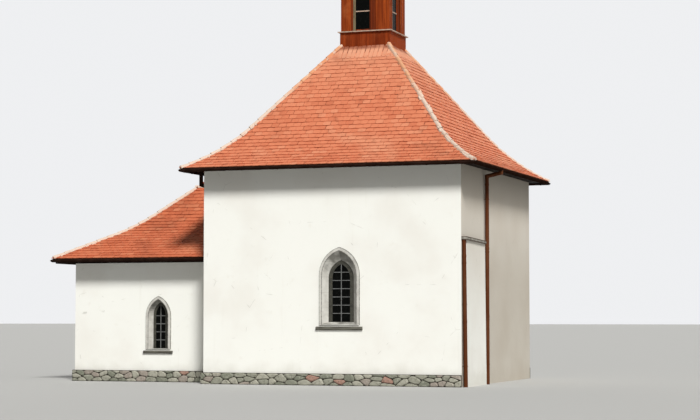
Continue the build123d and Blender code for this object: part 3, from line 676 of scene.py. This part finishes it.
def hip_tile(name, width, rise, gauge, lap, thickness, taper=0.82, corners=8):
    """A half-round tile, narrower at its head, with its tail at the origin."""
    head = gauge + lap
    turns = [math.pi * i / corners for i in range(corners + 1)]
    points = []
    for y, lift, scale in ((0, thickness, 1), (head, -thickness * lap / gauge, taper)):
        for inset in (0, thickness):
            half = width / 2 * scale - inset
            crown = rise * scale - inset
            points += [(-half * math.cos(turn), y, crown * math.sin(turn) + lift) for turn in turns]
    row = corners + 1
    faces = []
    for i in range(corners):
        for a, b in ((0, 2), (3, 1), (1, 0), (2, 3)):
            faces.append((a * row + i, a * row + i + 1, b * row + i + 1, b * row + i))
    for i in (0, corners):
        faces.append((i, row + i, 3 * row + i, 2 * row + i))
    made = mesh_object(name, points, [], faces)
    tail_attribute(made, gauge)
    bm = bmesh.new()
    bm.from_mesh(made.data)
    outside_in(bm)
    bm.to_mesh(made.data)
    bm.free()
    return made


roof_tile = plain_tile(
    "roof_tile_shape", 0.233, tile_gauge, lap=0.09, thickness=0.018, rounding=0.012, corners=4)
small_tile = plain_tile("small_tile_shape", 0.116, small_gauge, lap=0.06, thickness=0.012, rounding=0.03)
long_tile = plain_tile(
    "long_tile_shape", 0.124, long_gauge, lap=0.04, thickness=0.018, rounding=0.004, corners=2)
ridge_tile = hip_tile(
    "hip_tile_shape", 0.14, rise=0.085, gauge=hip_gauge, lap=0.04, thickness=0.008, taper=0.92)
foot_tile = hip_tile("foot_tile_shape", 0.2, rise=0.085, gauge=0.4, lap=0.02, thickness=0.012, taper=0.7)
small_hip = hip_tile(
    "small_hip_shape", 0.11, rise=0.04, gauge=small_hip_gauge, lap=0.03, thickness=0.01)
print(len(roof_tile.data.polygons), "faces on a tile,", len(ridge_tile.data.polygons), "on a hip tile")

# %% [markdown]
# A slope is laid in courses from the eaves up, every second course shifted by half a tile. The
# pattern makes the points of one course on each step of the roof's line, drops those beyond the hips
# and puts a tile on each of the others, a little askew as a tiler leaves them.

# %% Pattern of a tiled slope
row_inputs = {
    "Gauge": "Float", "Slack": "Float", "Tile": "Object", "Finish": "Material", "Seed": "Int"}
courses = Pattern("tile_courses", row_inputs | {
    "Pitch": "Float", "Half Count": "Int",
    "Left Edge": "Float", "Left Slant": "Float", "Right Edge": "Float", "Right Slant": "Float"})
steps = courses.points_along((1, 0, 0), None)
pitch = courses.given("Pitch")
half_count = courses.given("Half Count")
shift = (courses.add("GeometryNodeInputIndex", {}, {}) % 2) * pitch / 2
steps = courses.add("GeometryNodeSetPosition", {}, {0: steps, "Offset": courses.combine(shift, 0, 0)})
slots = {
    "Count": half_count * 2 + 1, "Start Location": courses.combine(half_count * pitch * -1, 0, 0),
    "Offset": courses.combine(pitch, 0, 0)}
line = courses.add("GeometryNodeMeshLine", {"mode": "OFFSET", "count_mode": "TOTAL"}, slots)
rows = courses.add("GeometryNodeInstanceOnPoints", {}, {"Points": steps, "Instance": line})
rows = courses.add("GeometryNodeRealizeInstances", {}, {0: rows})
where = courses.add("GeometryNodeInputPosition", {}, {})
x, y = courses.axis(where, "X"), courses.axis(where, "Y")
beyond_left = (courses.given("Left Edge") + courses.given("Left Slant") * y - x).above(pitch / 2)
beyond_right = (x - courses.given("Right Edge") - courses.given("Right Slant") * y).above(pitch / 2)
slots = {0: rows, 1: beyond_left + beyond_right}
rows = courses.add("GeometryNodeDeleteGeometry", {"domain": "POINT"}, slots)
along, across = courses.random(-1, 1, 5) * pitch * 0.02, courses.random(-1, 1, 6) * pitch * 0.03
jog = courses.combine(along, across, courses.random(0, 1, 7) * 0.004)
courses.lay(courses.add("GeometryNodeSetPosition", {}, {0: rows, "Offset": jog}))

# %% [markdown]
# The tiles along a hip or ridge are strung on its line. A second, shorter pattern does that, with the
# tiles upright however steep the line is.

# %% Pattern of a row of tiles
string = Pattern("tile_row", row_inputs)
string.lay(string.points_along(None, (0, 0, 1)))

# %% [markdown]
# At a hip the tiler cuts each tile to the slant. Here a vertical plane through the hip cuts the whole
# slope at once and closes the cut tiles again, and the wall does the same on the chancel.

# %% Lay a slope
def trimmed(mesh, planes):
    """Cut a mesh of closed pieces by planes, keep what is behind them and close the cuts."""
    bm = bmesh.new()
    bm.from_mesh(mesh)
    for point, normal in planes:
        everything = bm.verts[:] + bm.edges[:] + bm.faces[:]
        cut = bmesh.ops.bisect_plane(
            bm, geom=everything, plane_co=point, plane_no=normal, clear_outer=True)["geom_cut"]
        rims = [item for item in cut if isinstance(item, bmesh.types.BMEdge)]
        bmesh.ops.holes_fill(bm, edges=rims)
    bm.to_mesh(mesh)
    bm.free()


def slope(name, roof, eave, runs, edges, tile, gauge, pitch, seed, place, finish="roof_tiles"):
    """Tiles of a front slope between two edges, each an offset and a slant against y."""
    left, right = edges
    values = {
        "Gauge": gauge, "Pitch": pitch, "Half Count": math.ceil(eave / pitch) + 1,
        "Left Edge": left[0], "Left Slant": left[1], "Right Edge": right[0], "Right Slant": right[1],
        "Slack": 0.018, "Tile": tile, "Finish": finishes[finish], "Seed": seed}
    mesh = courses.make(roof.line(eave, *runs), values)
    trimmed(mesh, [((left[0], 0, 0), (-1, left[1], 0)), ((right[0], 0, 0), (1, -right[1], 0))])
    mesh.transform(place)
    piece_from(name, mesh)


# %% [markdown]
# The nave has four slopes between hips. The chancel has three, and two of them end at the nave's wall.
# The last course under the lantern is of long tiles set upright, and the lantern's own roof has small
# ones.

# %% Tiled slopes
tail_reach = 0.03
nave_head = nave_run - 0.33
tile_pitch = 0.242
long_pitch = 0.147
small_pitch = 0.12
hip_left, hip_right = (0, 1), (0, -1)
hips = (hip_left, hip_right)
quarter_turns = [about_z(90 * index) for index in range(4)]
sides = ("front", "right", "back", "left")
for index, side in enumerate(sides):
    slope(f"nave_{side}_tiles", nave_roof, nave_eave, (-tail_reach, nave_head), hips,
          roof_tile, tile_gauge, tile_pitch, 11 + index, quarter_turns[index])
place = Matrix.Translation((chancel_apex, 0, 0))
for side, turn, edges, seed in (
        ("front", 0, (hip_left, (chancel_near, 0)), 21),
        ("back", 180, ((-chancel_near, 0), hip_right), 22),
        ("end", -90, hips, 23)):
    slope(f"chancel_{side}_tiles", chancel_roof, chancel_eave, (-tail_reach, chancel_eave - 0.02), edges,
          roof_tile, tile_gauge, tile_pitch, seed, place @ about_z(turn), "chancel_tile")
for index, side in enumerate(sides):
    slope(f"nave_{side}_head_course", nave_roof, nave_eave, (nave_head - 0.03, nave_head + 0.03), hips,
          long_tile, long_gauge, long_pitch, 31 + index, quarter_turns[index], "head_tile")
    slope(f"lantern_{side}_tiles", lantern_roof, lantern_eave, (-0.02, lantern_eave - 0.14), hips,
          small_tile, small_gauge, small_pitch, 41 + index, quarter_turns[index])

# %% [markdown]
# Half-round tiles bedded in lime cover the hips and the ridge. They start at the eaves and each
# upper one laps over the one below.

# %% Hip and ridge tiles
def row(name, chain, turns, tile, gauge, seed):
    """Rows of tiles along one line, repeated at several places."""
    values = {"Gauge": gauge, "Slack": 0.012, "Tile": tile, "Finish": finishes["hip_tile"]}
    whole = bmesh.new()
    for index, turn in enumerate(turns):
        mesh = string.make(chain, values | {"Seed": seed + index})
        mesh.transform(turn)
        whole.from_mesh(mesh)
        bpy.data.meshes.remove(mesh)
    mesh = bpy.data.meshes.new(name)
    whole.to_mesh(mesh)
    whole.free()
    mesh.materials.append(finishes["hip_tile"])
    piece_from(name, mesh)


sunk = Matrix.Translation((0, 0, -0.015))
bedded = Matrix.Translation((0, 0, -0.012))
chancel_turns = [place @ bedded, place @ bedded @ about_z(-90)]
sunk_turns = [sunk @ turn for turn in quarter_turns]
bedded_turns = [bedded @ turn for turn in quarter_turns]
row("nave_hip_tiles", nave_roof.hip(nave_eave, 0.2, nave_run - 0.12), sunk_turns, ridge_tile, hip_gauge, 51)
row("nave_hip_feet", nave_roof.hip(nave_eave, 0.0, 0.25), bedded_turns, foot_tile, 0.5, 56)
row("chancel_hip_tiles", chancel_roof.hip(chancel_eave, 0.02, chancel_eave - 0.3),
    chancel_turns, ridge_tile, hip_gauge, 61)
ridge = chancel_roof.height(chancel_eave)
ridge_line = [(x, 0, ridge) for x in (-0.1, chancel_near / 2, chancel_near - 0.34)]
row("chancel_ridge_tiles", ridge_line, [place @ sunk], ridge_tile, hip_gauge, 71)
row("lantern_hip_tiles", lantern_roof.hip(lantern_eave, 0.01, lantern_eave - 0.2),
    bedded_turns, small_hip, small_hip_gauge, 81)
for shape in (roof_tile, small_tile, long_tile, ridge_tile, foot_tile, small_hip):
    bpy.data.objects.remove(shape)

# %% [markdown]
# Stones, boards and bars are convex solids with broken edges. A small builder gathers many of them in
# one piece, each with its own number for its colour.

# %% Tools for solid pieces
class Build:
    """One piece made of many closed solids."""

    def __init__(self, name, slot, finish, seed):
        self.name = name
        self.slot = slot
        self.finish = finish
        self.bm = bmesh.new()
        self.tint = self.bm.verts.layers.float.new("tint")
        self.dice = random.Random(seed)

    def hull(self, points, place=Matrix()):
        """The convex solid round some points."""
        own = self.dice.random()
        made = []
        for point in points:
            vert = self.bm.verts.new(place @ Vector(point))
            vert[self.tint] = own
            made.append(vert)
        result = bmesh.ops.convex_hull(self.bm, input=made)
        spare = [item for item in result["geom_interior"] if isinstance(item, bmesh.types.BMVert)]
        bmesh.ops.delete(self.bm, geom=spare, context="VERTS")

    def box(self, low, high, chamfer, place=Matrix(), slack=0.0):
        """A block with chamfered edges between two corners, each point moved by up to the slack."""
        middle = [(a + b) / 2 for a, b in zip(low, high)]
        half = [(b - a) / 2 for a, b in zip(low, high)]
        points = []
        for signs in ((x, y, z) for x in (-1, 1) for y in (-1, 1) for z in (-1, 1)):
            for face in range(3):
                cut = [0 if axis == face else chamfer for axis in range(3)]
                points.append([
                    middle[axis] + signs[axis] * (half[axis] - cut[axis]) + self.dice.uniform(-slack, slack)
                    for axis in range(3)])
        self.hull(points, place)

    def lathe(self, profile, place, corners):
        """A solid turned about its own Z axis from a closed profile of radii and heights."""
        own = self.dice.random()
        turns = [2 * math.pi * index / corners for index in range(corners)]
        rings = []
        for radius, height in profile:
            points = [(radius * math.cos(turn), radius * math.sin(turn), height) for turn in turns]
            rings.append([self.bm.verts.new(place @ Vector(point)) for point in points])
            for vert in rings[-1]:
                vert[self.tint] = own
        for near, far in zip(rings, rings[1:] + rings[:1]):
            for index in range(corners):
                after = (index + 1) % corners
                self.bm.faces.new((near[index], near[after], far[after], far[index]))

    def done(self):
        """Hand over the finished piece."""
        outside_in(self.bm)
        mesh = bpy.data.meshes.new(self.name)
        self.bm.to_mesh(mesh)
        self.bm.free()
        mesh.materials.append(finishes[self.finish])
        piece_from(self.name, mesh)


def facing(x, y, turn):
    """The place of something made about the origin facing -Y, at a point of a wall's face."""
    return Matrix.Translation((x, y, 0)) @ about_z(turn)


# %% [markdown]
# The tiler fills the open end of the lowest hip tile with lime mortar, and more of it is squeezed out
# along both sides of the hip, where it weathers to ragged pale lumps. Most is left near the eaves.

# %% Mortar on the hips
def lumps(build, chain, turn, half=0.066, cap=0.09):
    """Lumps of mortar along both sides of a row of hip tiles, and a plug at its lower end."""
    dice = build.dice
    for near, far in zip(chain, chain[1:]):
        along = (Vector(far) - Vector(near)).to_track_quat("Y", "Z").to_matrix().to_4x4()
        lay = turn @ Matrix.Translation(near) @ along
        if near == chain[0]:
            arc = [math.pi * index / 8 for index in range(9)]
            rim = [(cap * math.cos(a), y, cap * math.sin(a)) for a in arc for y in (-0.012, 0.04)]
            build.hull(rim, lay)
        side = dice.choice((-1, 1)) * half
        wide, long = dice.uniform(0.012, 0.045), dice.uniform(0.03, 0.1)
        points = []
        for x in (-1, 1):
            for y in (0, 1, 2):
                reach = dice.uniform(0.5, 1)
                points.append((side + x * wide * reach, long * y, dice.uniform(0.02, 0.055)))
                points.append((side + x * wide, long * (y * 0.9 + 0.1), -0.01))
        build.hull(points, lay)


mortar = Build("hip_mortar", "lime_mortar", "hip_tile", 22)
for turn in quarter_turns:
    lumps(mortar, nave_roof.hip(nave_eave, 0.0, 2.7, 0.1), bedded @ turn)
for turn in chancel_turns:
    lumps(mortar, chancel_roof.hip(chancel_eave, 0.02, 1.6, 0.14), turn)
mortar.done()

# %% [markdown]
# The plinth is of field stones as they came: flat sided, all sizes, fitted together with wide dark
# joints. Points are scattered over the wall's foot, each takes the ground that is nearest to it, and
# that outline, less half a joint and with its corners knocked off, becomes a stone with a bulging face.

# %% Stones along a wall
plinth_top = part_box("nave_plinth")[1][2]
tries_per_metre = 90
widest_stone = 0.9


def cut_off(corners, point, normal):
    """What is left of a convex outline behind a line."""
    kept = []
    for near, far in zip(corners, corners[1:] + corners[:1]):
        before, after = (near - point).dot(normal), (far - point).dot(normal)
        if before <= 0:
            kept.append(near)
        if before * after < 0:
            kept.append(near.lerp(far, before / (before - after)))
    return kept


def rubble(build, length, place, joint=0.014, corner_cut=0.22):
    """Stones along a wall's foot that runs along X from the origin and faces -Y."""
    dice = build.dice
    squash = Vector((0.55, 1))
    middles = []
    for attempt in range(int(length * tries_per_metre)):
        middle = Vector((dice.uniform(0, length), dice.uniform(0, plinth_top)))
        room = dice.uniform(0.1, 0.2)
        if all(((middle - other) * squash).length > room for other in middles):
            middles.append(middle)
    foot, rim = 0.004, plinth_top - 0.014
    for middle in middles:
        corners = [Vector(corner) for corner in ((foot, foot), (length, foot), (length, rim), (foot, rim))]
        for other in middles:
            if other is not middle and abs(other.x - middle.x) < widest_stone:
                normal = ((other - middle) * squash * squash).normalized()
                corners = cut_off(corners, (middle + other) / 2 - normal * joint / 2, normal)
        knocked = []
        for near, far in zip(corners, corners[1:] + corners[:1]):
            knocked += [near.lerp(far, corner_cut), near.lerp(far, 1 - corner_cut)]
        centre = sum(knocked, Vector((0, 0))) / len(knocked)
        proud = dice.uniform(0.022, 0.05)
        points = []
        for scale, depth in ((1, 0.04), (1, -proud * 0.4), (0.72, -proud)):
            for corner in knocked:
                at = centre + (corner - centre) * scale
                points.append((at.x, depth + dice.uniform(-0.003, 0.003), at.y))
        build.hull(points, place)


# %% [markdown]
# The stones run round nave and chancel, except on the nave's right wall, where the render reaches the
# ground.

# %% Plinth stones
nave_face = -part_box("nave_front_wall")[0][1]
plinth_face = -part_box("nave_plinth")[0][1]
chancel_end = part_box("chancel_plinth")[0][0]
chancel_face = -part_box("chancel_plinth")[0][1]
nave_length, return_length = nave_face + plinth_face, plinth_face - chancel_face
chancel_length = -plinth_face - chancel_end
stones = Build("plinth_stones", "rubble_stone", "plinth_stone", 5)
for length, x, y, turn in (
        (nave_length, -plinth_face, -plinth_face, 0), (nave_length, nave_face, plinth_face, 180),
        (return_length, -plinth_face, plinth_face, -90), (return_length, -plinth_face, -chancel_face, -90),
        (chancel_length, chancel_end, -chancel_face, 0), (chancel_length, -plinth_face, chancel_face, 180),
        (2 * chancel_face, chancel_end, chancel_face, -90)):
    rubble(stones, length, facing(x, y, turn))
stones.done()

# %% [markdown]
# Each window is closed by one sheet of glass in the frame. Flat bars divide it: one upright and
# several across, cut to the pointed head. They stand just in front of the glass. A pointed opening is
# given by half its width and the levels of its foot, of the spring of its arch and of its apex.

# %% Window bars
def arch_half(level, half, spring, apex):
    """Half the width of a pointed opening at one level."""
    if level <= spring:
        return half
    rise = apex - spring
    radius = (half**2 + rise**2) / (2 * half)
    return math.sqrt(max(radius**2 - (level - spring) ** 2, 0)) - radius + half


def window_bars(build, light, step, place):
    """One upright bar and several across in a pointed light."""
    half, foot, spring, apex = light
    near = glass_front - 0.018
    build.box((-0.012, near - 0.004, foot), (0.012, glass_front, apex - 0.006), 0.004, place)
    level = foot + step
    while level < apex - 0.15:
        reach = arch_half(level + 0.014, half, spring, apex)
        build.box((-reach, near, level - 0.011), (reach, glass_front, level + 0.011), 0.004, place)
        level += step


glass_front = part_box("window_glass")[0][1] + nave_face
plinth_reach = 0.06
nave_window_x, chancel_window_x = 0.315, -6.13
nave_windows = [facing(nave_window_x, -nave_face, 0), facing(nave_window_x, nave_face, 180)]
chancel_windows = [
    facing(chancel_window_x, plinth_reach - chancel_face, 0),
    facing(chancel_window_x, chancel_face - plinth_reach, 180),
    facing(chancel_end + plinth_reach, 0, -90)]
nave_light, nave_surround = (0.28, 1.89, 3.188, 3.605), (0.625, 1.79, 3.27, 4.085)
chancel_light, chancel_surround = (0.165, 1.055, 2.1, 2.406), (0.42, 1.02, 2.05, 2.668)
bars = Build("window_bars", "grey_timber", "bar_paint", 7)
for places, light, step in ((nave_windows, nave_light, 0.245), (chancel_windows, chancel_light, 0.253)):
    for window in places:
        window_bars(bars, light, step, window)
bars.done()

# %% [markdown]
# Where dressed stone meets render a joint opens and fills with dirt, so each surround is drawn round
# by a thin dark line. A second thin dark line runs where the flat moulding turns in to the reveal, as
# painted shade.

# %% Joint lines and painted shade lines round the surrounds
def pointed(opening, grow, count=10):
    """Points round a pointed opening that is grown all round, from one foot over the top to the other."""
    half, foot, spring, apex = opening
    rise = apex - spring
    radius = (half**2 + rise**2) / (2 * half)
    reach = radius + grow
    top = math.acos((radius - half) / reach)
    turns = [top * index / count for index in range(count + 1)]
    side = [(half - radius + reach * math.cos(turn), spring + reach * math.sin(turn)) for turn in turns]
    right = [(half + grow, foot)] + side
    return right + [(-x, z) for x, z in reversed(right[:-1])]


def arch_band(build, opening, inner, outer, near, far, place):
    """A band that follows a pointed opening between two offsets from it and two depths."""
    inside, outside = pointed(opening, inner), pointed(opening, outer)
    for low, high in zip(zip(inside, outside), zip(inside[1:], outside[1:])):
        build.hull([(x, y, z) for x, z in low + high for y in (near, far)], place)


lines = Build("surround_joints", "dressed_stone", "surround_joint", 9)
for places, surround in ((nave_windows, nave_surround), (chancel_windows, chancel_surround)):
    for window in places:
        arch_band(lines, surround, 0.0, 0.02, -0.004, 0.01, window)
        # a painted shade line where the moulding turns in to the reveal
        arch_band(lines, surround, -0.082, -0.068, -0.0315, -0.02, window)
lines.done()

# %% [markdown]
# The lantern is clad in boards. The skirt's stand upright and run down on to the tiles, the corner
# posts are boxed in wide ones, and a single wide one, set back, fills each gap beside a window.

# %% Lantern boards
def boards(build, x_limits, z_limits, face, count, thickness, place, gap=0.003):
    """Upright boards side by side on a face towards -Y."""
    step = (x_limits[1] - x_limits[0]) / count
    for index in range(count):
        x = x_limits[0] + step * index
        drop = build.dice.uniform(0, 0.006)
        build.box((x + gap / 2, face - thickness - build.dice.uniform(0, 0.002), z_limits[0] - drop),
                  (x + step - gap / 2, face, z_limits[1]), 0.003, place)


post_low, post_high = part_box("lantern_posts")
panel_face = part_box("lantern_panels")[0][1]
nave_ridge = nave_roof.height(nave_run)
skirt_span = (nave_ridge - 0.06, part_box("lantern_skirt")[1][2] - 0.004)
post_span = (post_low[2] + 0.004, post_high[2] - 0.004)
edge = post_high[0]
left_post, right_post = 0.3, 0.43
window_left, window_right = -0.42, 0.18
skirt = Build("lantern_skirt_boards", "orange_timber", "skirt_timber", 11)
posts = Build("lantern_corner_boards", "orange_timber", "orange_timber", 3419)
panels = Build("lantern_panel_boards", "orange_timber", "panel_timber", 13)
for turn in quarter_turns:
    boards(skirt, (-nave_top, nave_top + 0.022), skirt_span, -nave_top, 10, 0.022, turn)
    boards(posts, (-edge, left_post - edge), post_span, -edge, 2, 0.018, turn)
    boards(posts, (edge - right_post, edge + 0.018), post_span, -edge, 3, 0.018, turn)
    boards(panels, (left_post - edge + 0.002, window_left), post_span, panel_face, 1, 0.014, turn)
    boards(panels, (window_right, edge - right_post - 0.002), post_span, panel_face, 1, 0.014, turn)
for build in (skirt, posts, panels):
    build.done()

# %% [markdown]
# The lantern's windows have two pale painted bars across, and an olive painted jamb on the left.

# %% Lantern bars and jambs
trim = Build("lantern_bars", "pale_timber", "pale_timber", 14)
jamb = Build("lantern_jambs", "pale_timber", "jamb_paint", 15)
frame_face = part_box("lantern_window_frames")[0][1]
frame_width, bar_spacing, bar_half = 0.046, 0.62, 0.018
for turn in quarter_turns:
    for index in (1, 2):
        level = post_low[2] + bar_spacing * index
        trim.box((window_left + frame_width, frame_face + 0.002, level - bar_half),
                 (window_right - frame_width, frame_face + 0.02, level + bar_half), 0.005, turn)
    jamb.box((window_left + 0.004, frame_face - 0.012, post_low[2] + 0.002),
             (window_left + 0.09, frame_face, post_high[2] - 0.004), 0.004, turn)
trim.done()
jamb.done()

# %% [markdown]
# Flat iron brackets hold the gutters every 60 cm. Each is a strap bent round the gutter and nailed to
# the fascia.

# %% Gutter brackets
def bracket(build, place, radius=0.067, width=0.025, thickness=0.004, corners=8):
    """A strap under a half-round gutter whose centre line runs along X through the origin."""
    turns = [math.pi * index / corners for index in range(corners + 1)]
    for start, end in zip(turns, turns[1:]):
        points = [
            (x, -reach * math.cos(turn), -reach * math.sin(turn))
            for x in (-width / 2, width / 2)
            for reach in (radius, radius + thickness)
            for turn in (start, end)]
        build.hull(points, place)


def brackets(build, half, centre, rim, place, spacing=0.6):
    """Brackets along a front eave from one half width to the other, under a gutter's rim."""
    count = int(2 * half / spacing)
    for index in range(count + 1):
        x = -half + 0.25 + (2 * half - 0.5) * index / count
        bracket(build, place @ Matrix.Translation((x, -centre, rim - 0.001)))


gutter_half = 0.065
gutter_low, gutter_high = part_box("nave_gutters")
straps = Build("gutter_brackets", "dark_sheet_metal", "dark_sheet_metal", 17)
for turn in quarter_turns:
    brackets(straps, nave_eave, -gutter_low[1] - gutter_half, gutter_high[2], turn)
low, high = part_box("chancel_gutters")
gutter_line = -low[1] - gutter_half
for turn in (0, 180):
    side_middle = facing((low[0] + high[0]) / 2, 0, turn)
    brackets(straps, (high[0] - low[0]) / 2 - 0.1, gutter_line, high[2], side_middle)
end_middle = facing(low[0] + gutter_line + gutter_half, 0, -90)
brackets(straps, gutter_line - 0.1, gutter_line, high[2], end_middle)
straps.done()

# %% [markdown]
# A folded strip of sheet metal starts under the first course and hangs into the gutter, so that no
# rain is blown back on to the fascia. At the corners the strips meet in a mitre.

# %% Eaves strips
def strip(build, roof, eave, rim, right_end, place, thickness=0.003):
    """A strip along a front eave, from under the tiles' tails down to the middle of the gutter."""
    near, far = eave - 0.02, eave + 0.075
    rights = (near, far) if right_end is None else (right_end, right_end)
    points = []
    for reach, right, level in zip((near, far), rights, (roof.nose + 0.004, rim - 0.006)):
        points += [(x, -reach, level - drop) for x in (-reach, right) for drop in (0, thickness)]
    build.hull(points, place)


drips = Build("eaves_strips", "dark_sheet_metal", "dark_sheet_metal", 18)
mirror = Matrix.Scale(-1, 4, (0, 1, 0))
wall_end = chancel_near - 0.01
for turn in quarter_turns:
    strip(drips, nave_roof, nave_eave, gutter_high[2], None, turn)
for right_end, turn in ((wall_end, Matrix()), (None, about_z(-90)), (wall_end, mirror)):
    strip(drips, chancel_roof, chancel_eave, high[2], right_end, place @ turn)
drips.done()

# %% [markdown]
# Downpipes come in lengths of about two metres. Each joint shows as a swollen collar, and clips with a
# nail into the wall hold the pipe near it. The pipe at the corner leans with the buttress beside it, by
# 4 cm over its height.

# %% Pipe collars and clips
collar_profile = [(0.0595, -0.04), (0.065, -0.034), (0.065, 0.034), (0.0595, 0.04)]
clip_profile = [(0.059, -0.015), (0.0665, -0.015), (0.0665, 0.015), (0.059, 0.015)]
corner_lean = 0.04 / 4.37
for name, slot, x, y, collars, clips, to_wall, lean in (
        ("right_pipe_fittings", "brown_sheet_metal", 4.17, -1.545,
         (2.05, 4.1, 6.05), (0.6, 1.95, 4.0, 5.6), -1, 0.0),
        ("corner_pipe_fittings", "brown_sheet_metal", 4.185, -4.01,
         (1.9, 3.8), (0.6, 2.4, 3.6), -1, corner_lean),
        ("left_pipe_fittings", "dark_sheet_metal", -4.235, -3.1, (4.3, 5.6), (4.9,), 1, 0.0)):
    build = Build(name, slot, slot, 19)
    for levels, profile in ((collars, collar_profile), (clips, clip_profile)):
        for level in levels:
            at = x - lean * level
            build.lathe(profile, Matrix.Translation((at, y, level)), 20)
            if profile is clip_profile:
                ends = sorted((at + to_wall * 0.06, at + to_wall * 0.11))
                build.box((ends[0] - 0.006, y - 0.006, level - 0.006),
                          (ends[1] + 0.006, y + 0.006, level + 0.006), 0.002)
    build.done()

# %% [markdown]
# The door is in the back wall: oak planks on a ledged leaf that follow the pointed doorway.

# %% Door planks
door_low, door_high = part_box("door_leaf")
door_place = facing((door_low[0] + door_high[0]) / 2, door_high[1], 180)
door_half = (door_high[0] - door_low[0]) / 2
door_spring = 1.75
margin, plank_gap, plank_depth, bevel = 0.012, 0.004, 0.022, 0.004
plank_count = 7
planks = Build("door_planks", "door_oak", "door_oak", 23)
for index in range(plank_count):
    left = -door_half + margin + 2 * (door_half - margin) * index / plank_count
    right = left + 2 * (door_half - margin) / plank_count - plank_gap
    points = []
    for x in (left, (left + right) / 2, right):
        low, high = door_spring, door_high[2]
        while high - low > 0.001:
            level = (low + high) / 2
            inside = arch_half(level, door_half - margin, door_spring, door_high[2] - margin) > abs(x)
            low, high = (level, high) if inside else (low, level)
        front = -plank_depth + (bevel if x in (left, right) else 0)
        foot = door_low[2] + margin
        points += [(x, 0, low), (x, 0, foot), (x, front, low - bevel), (x, front, foot + bevel)]
    planks.hull(points, door_place)
planks.done()

# %% [markdown]
# The leaf hangs on two strap hinges with nails along them, each turning on a barrel, and has a ring on
# a plate to pull it by.

# %% Door ironwork
iron = Build("door_ironwork", "wrought_iron", "wrought_iron", 24)
barrel = [(0.004, -0.06), (0.022, -0.06), (0.022, 0.06), (0.004, 0.06)]
nail = [(0.001, 0), (0.011, 0), (0.008, 0.007), (0.001, 0.009)]
hinge_levels, nail_count, nail_spacing = (0.55, 1.55), 6, 0.13
for level in hinge_levels:
    iron.hull([(-door_half + 0.01, y, level + z) for y in (-0.022, -0.03) for z in (-0.035, 0.035)]
              + [(door_half - 0.28, y, level + z) for y in (-0.022, -0.03) for z in (-0.014, 0.014)]
              + [(door_half - 0.22, y, level) for y in (-0.022, -0.028)], door_place)
    iron.lathe(barrel, door_place @ Matrix.Translation((-door_half + 0.02, -0.034, level)), 12)
    for index in range(nail_count):
        head = Matrix.Translation((-door_half + 0.09 + index * nail_spacing, -0.03, level))
        iron.lathe(nail, door_place @ head @ Matrix.Rotation(math.pi / 2, 4, "X"), 8)
ring_place = door_place @ Matrix.Translation((door_half - 0.15, 0, 1.1))
ring_radius, wire = 0.05, 0.006
iron.box((-0.045, -0.028, -0.09), (0.045, -0.021, 0.09), 0.003, ring_place)
turns = [2 * math.pi * index / 20 for index in range(21)]
around = [2 * math.pi * side / 6 for side in range(6)]
for start, end in zip(turns, turns[1:]):
    points = []
    for turn in (start, end):
        for angle in around:
            reach = ring_radius + wire * math.cos(angle)
            points.append((reach * math.sin(turn), -0.036 + wire * math.sin(angle),
                           reach * math.cos(turn) - 0.03))
    iron.hull(points, ring_place)
iron.box((-0.012, -0.045, 0.01), (0.012, -0.026, 0.032), 0.004, ring_place)
iron.done()

# %% [markdown]
# The church stands on a plain pale floor in a soft studio. A broad sun from the front right models
# the walls as daylight does, weak wide ones from the side and from behind soften it, and the pale
# surround fills the shadows.

# %% Floor and surround
floor = mesh_object("studio_floor", [(-400, -400, 0), (400, -400, 0), (400, 400, 0), (-400, 400, 0)],
                    [], [(0, 1, 2, 3)])
Finish("studio_floor").done(colour(182, 182, 180), 0.9, 0.0)
floor.data.materials.append(finishes["studio_floor"])

world = bpy.data.worlds.new("studio")
world.use_nodes = True
bpy.context.scene.world = world
sky = Nodes(world.node_tree)
seen = 0
for ray in ("Is Camera Ray", "Is Glossy Ray", "Is Transmission Ray"):
    seen = sky.add("ShaderNodeLightPath", {}, {}, ray) + seen
strength = sky.maths("MULTIPLY_ADD", sky.maths("MINIMUM", seen, 1), 0.83, 0.07)
sky.feed(world.node_tree.nodes["Background"], {"Strength": strength, "Color": colour(250, 251, 253)})

# %% [markdown]
# The camera stands low and far off with a long lens, as the photograph's did.

# %% Lamps and camera
for name, energy, angle, heading in (
        ("sun", 3.5, 13, (-0.4, 0.61, -0.74)), ("side", 0.4, 80, (-0.93, 0.15, -0.3)),
        ("fill", 0.8, 70, (0.3, -0.75, -0.3))):
    lamp = placed(name, bpy.data.lights.new(name, "SUN"))
    lamp.data.energy = energy
    lamp.data.angle = math.radians(angle)
    lamp.data.color = colour(255, 254, 251)[:3]
    lamp.rotation_euler = Vector(heading).to_track_quat("-Z", "Y").to_euler()

camera = placed("camera", bpy.data.cameras.new("camera"))
camera.data.lens = 94.318
camera.data.clip_end = 500
camera.location = (18.801, -55.330, 2.0567)
camera.rotation_euler = (math.radians(93.3105), 0, math.radians(19.499))
bpy.context.scene.camera = camera
bpy.context.scene.view_settings.view_transform = "Standard"
print(len(bpy.data.lights), "lamps, and a lens of", round(camera.data.lens), "mm")
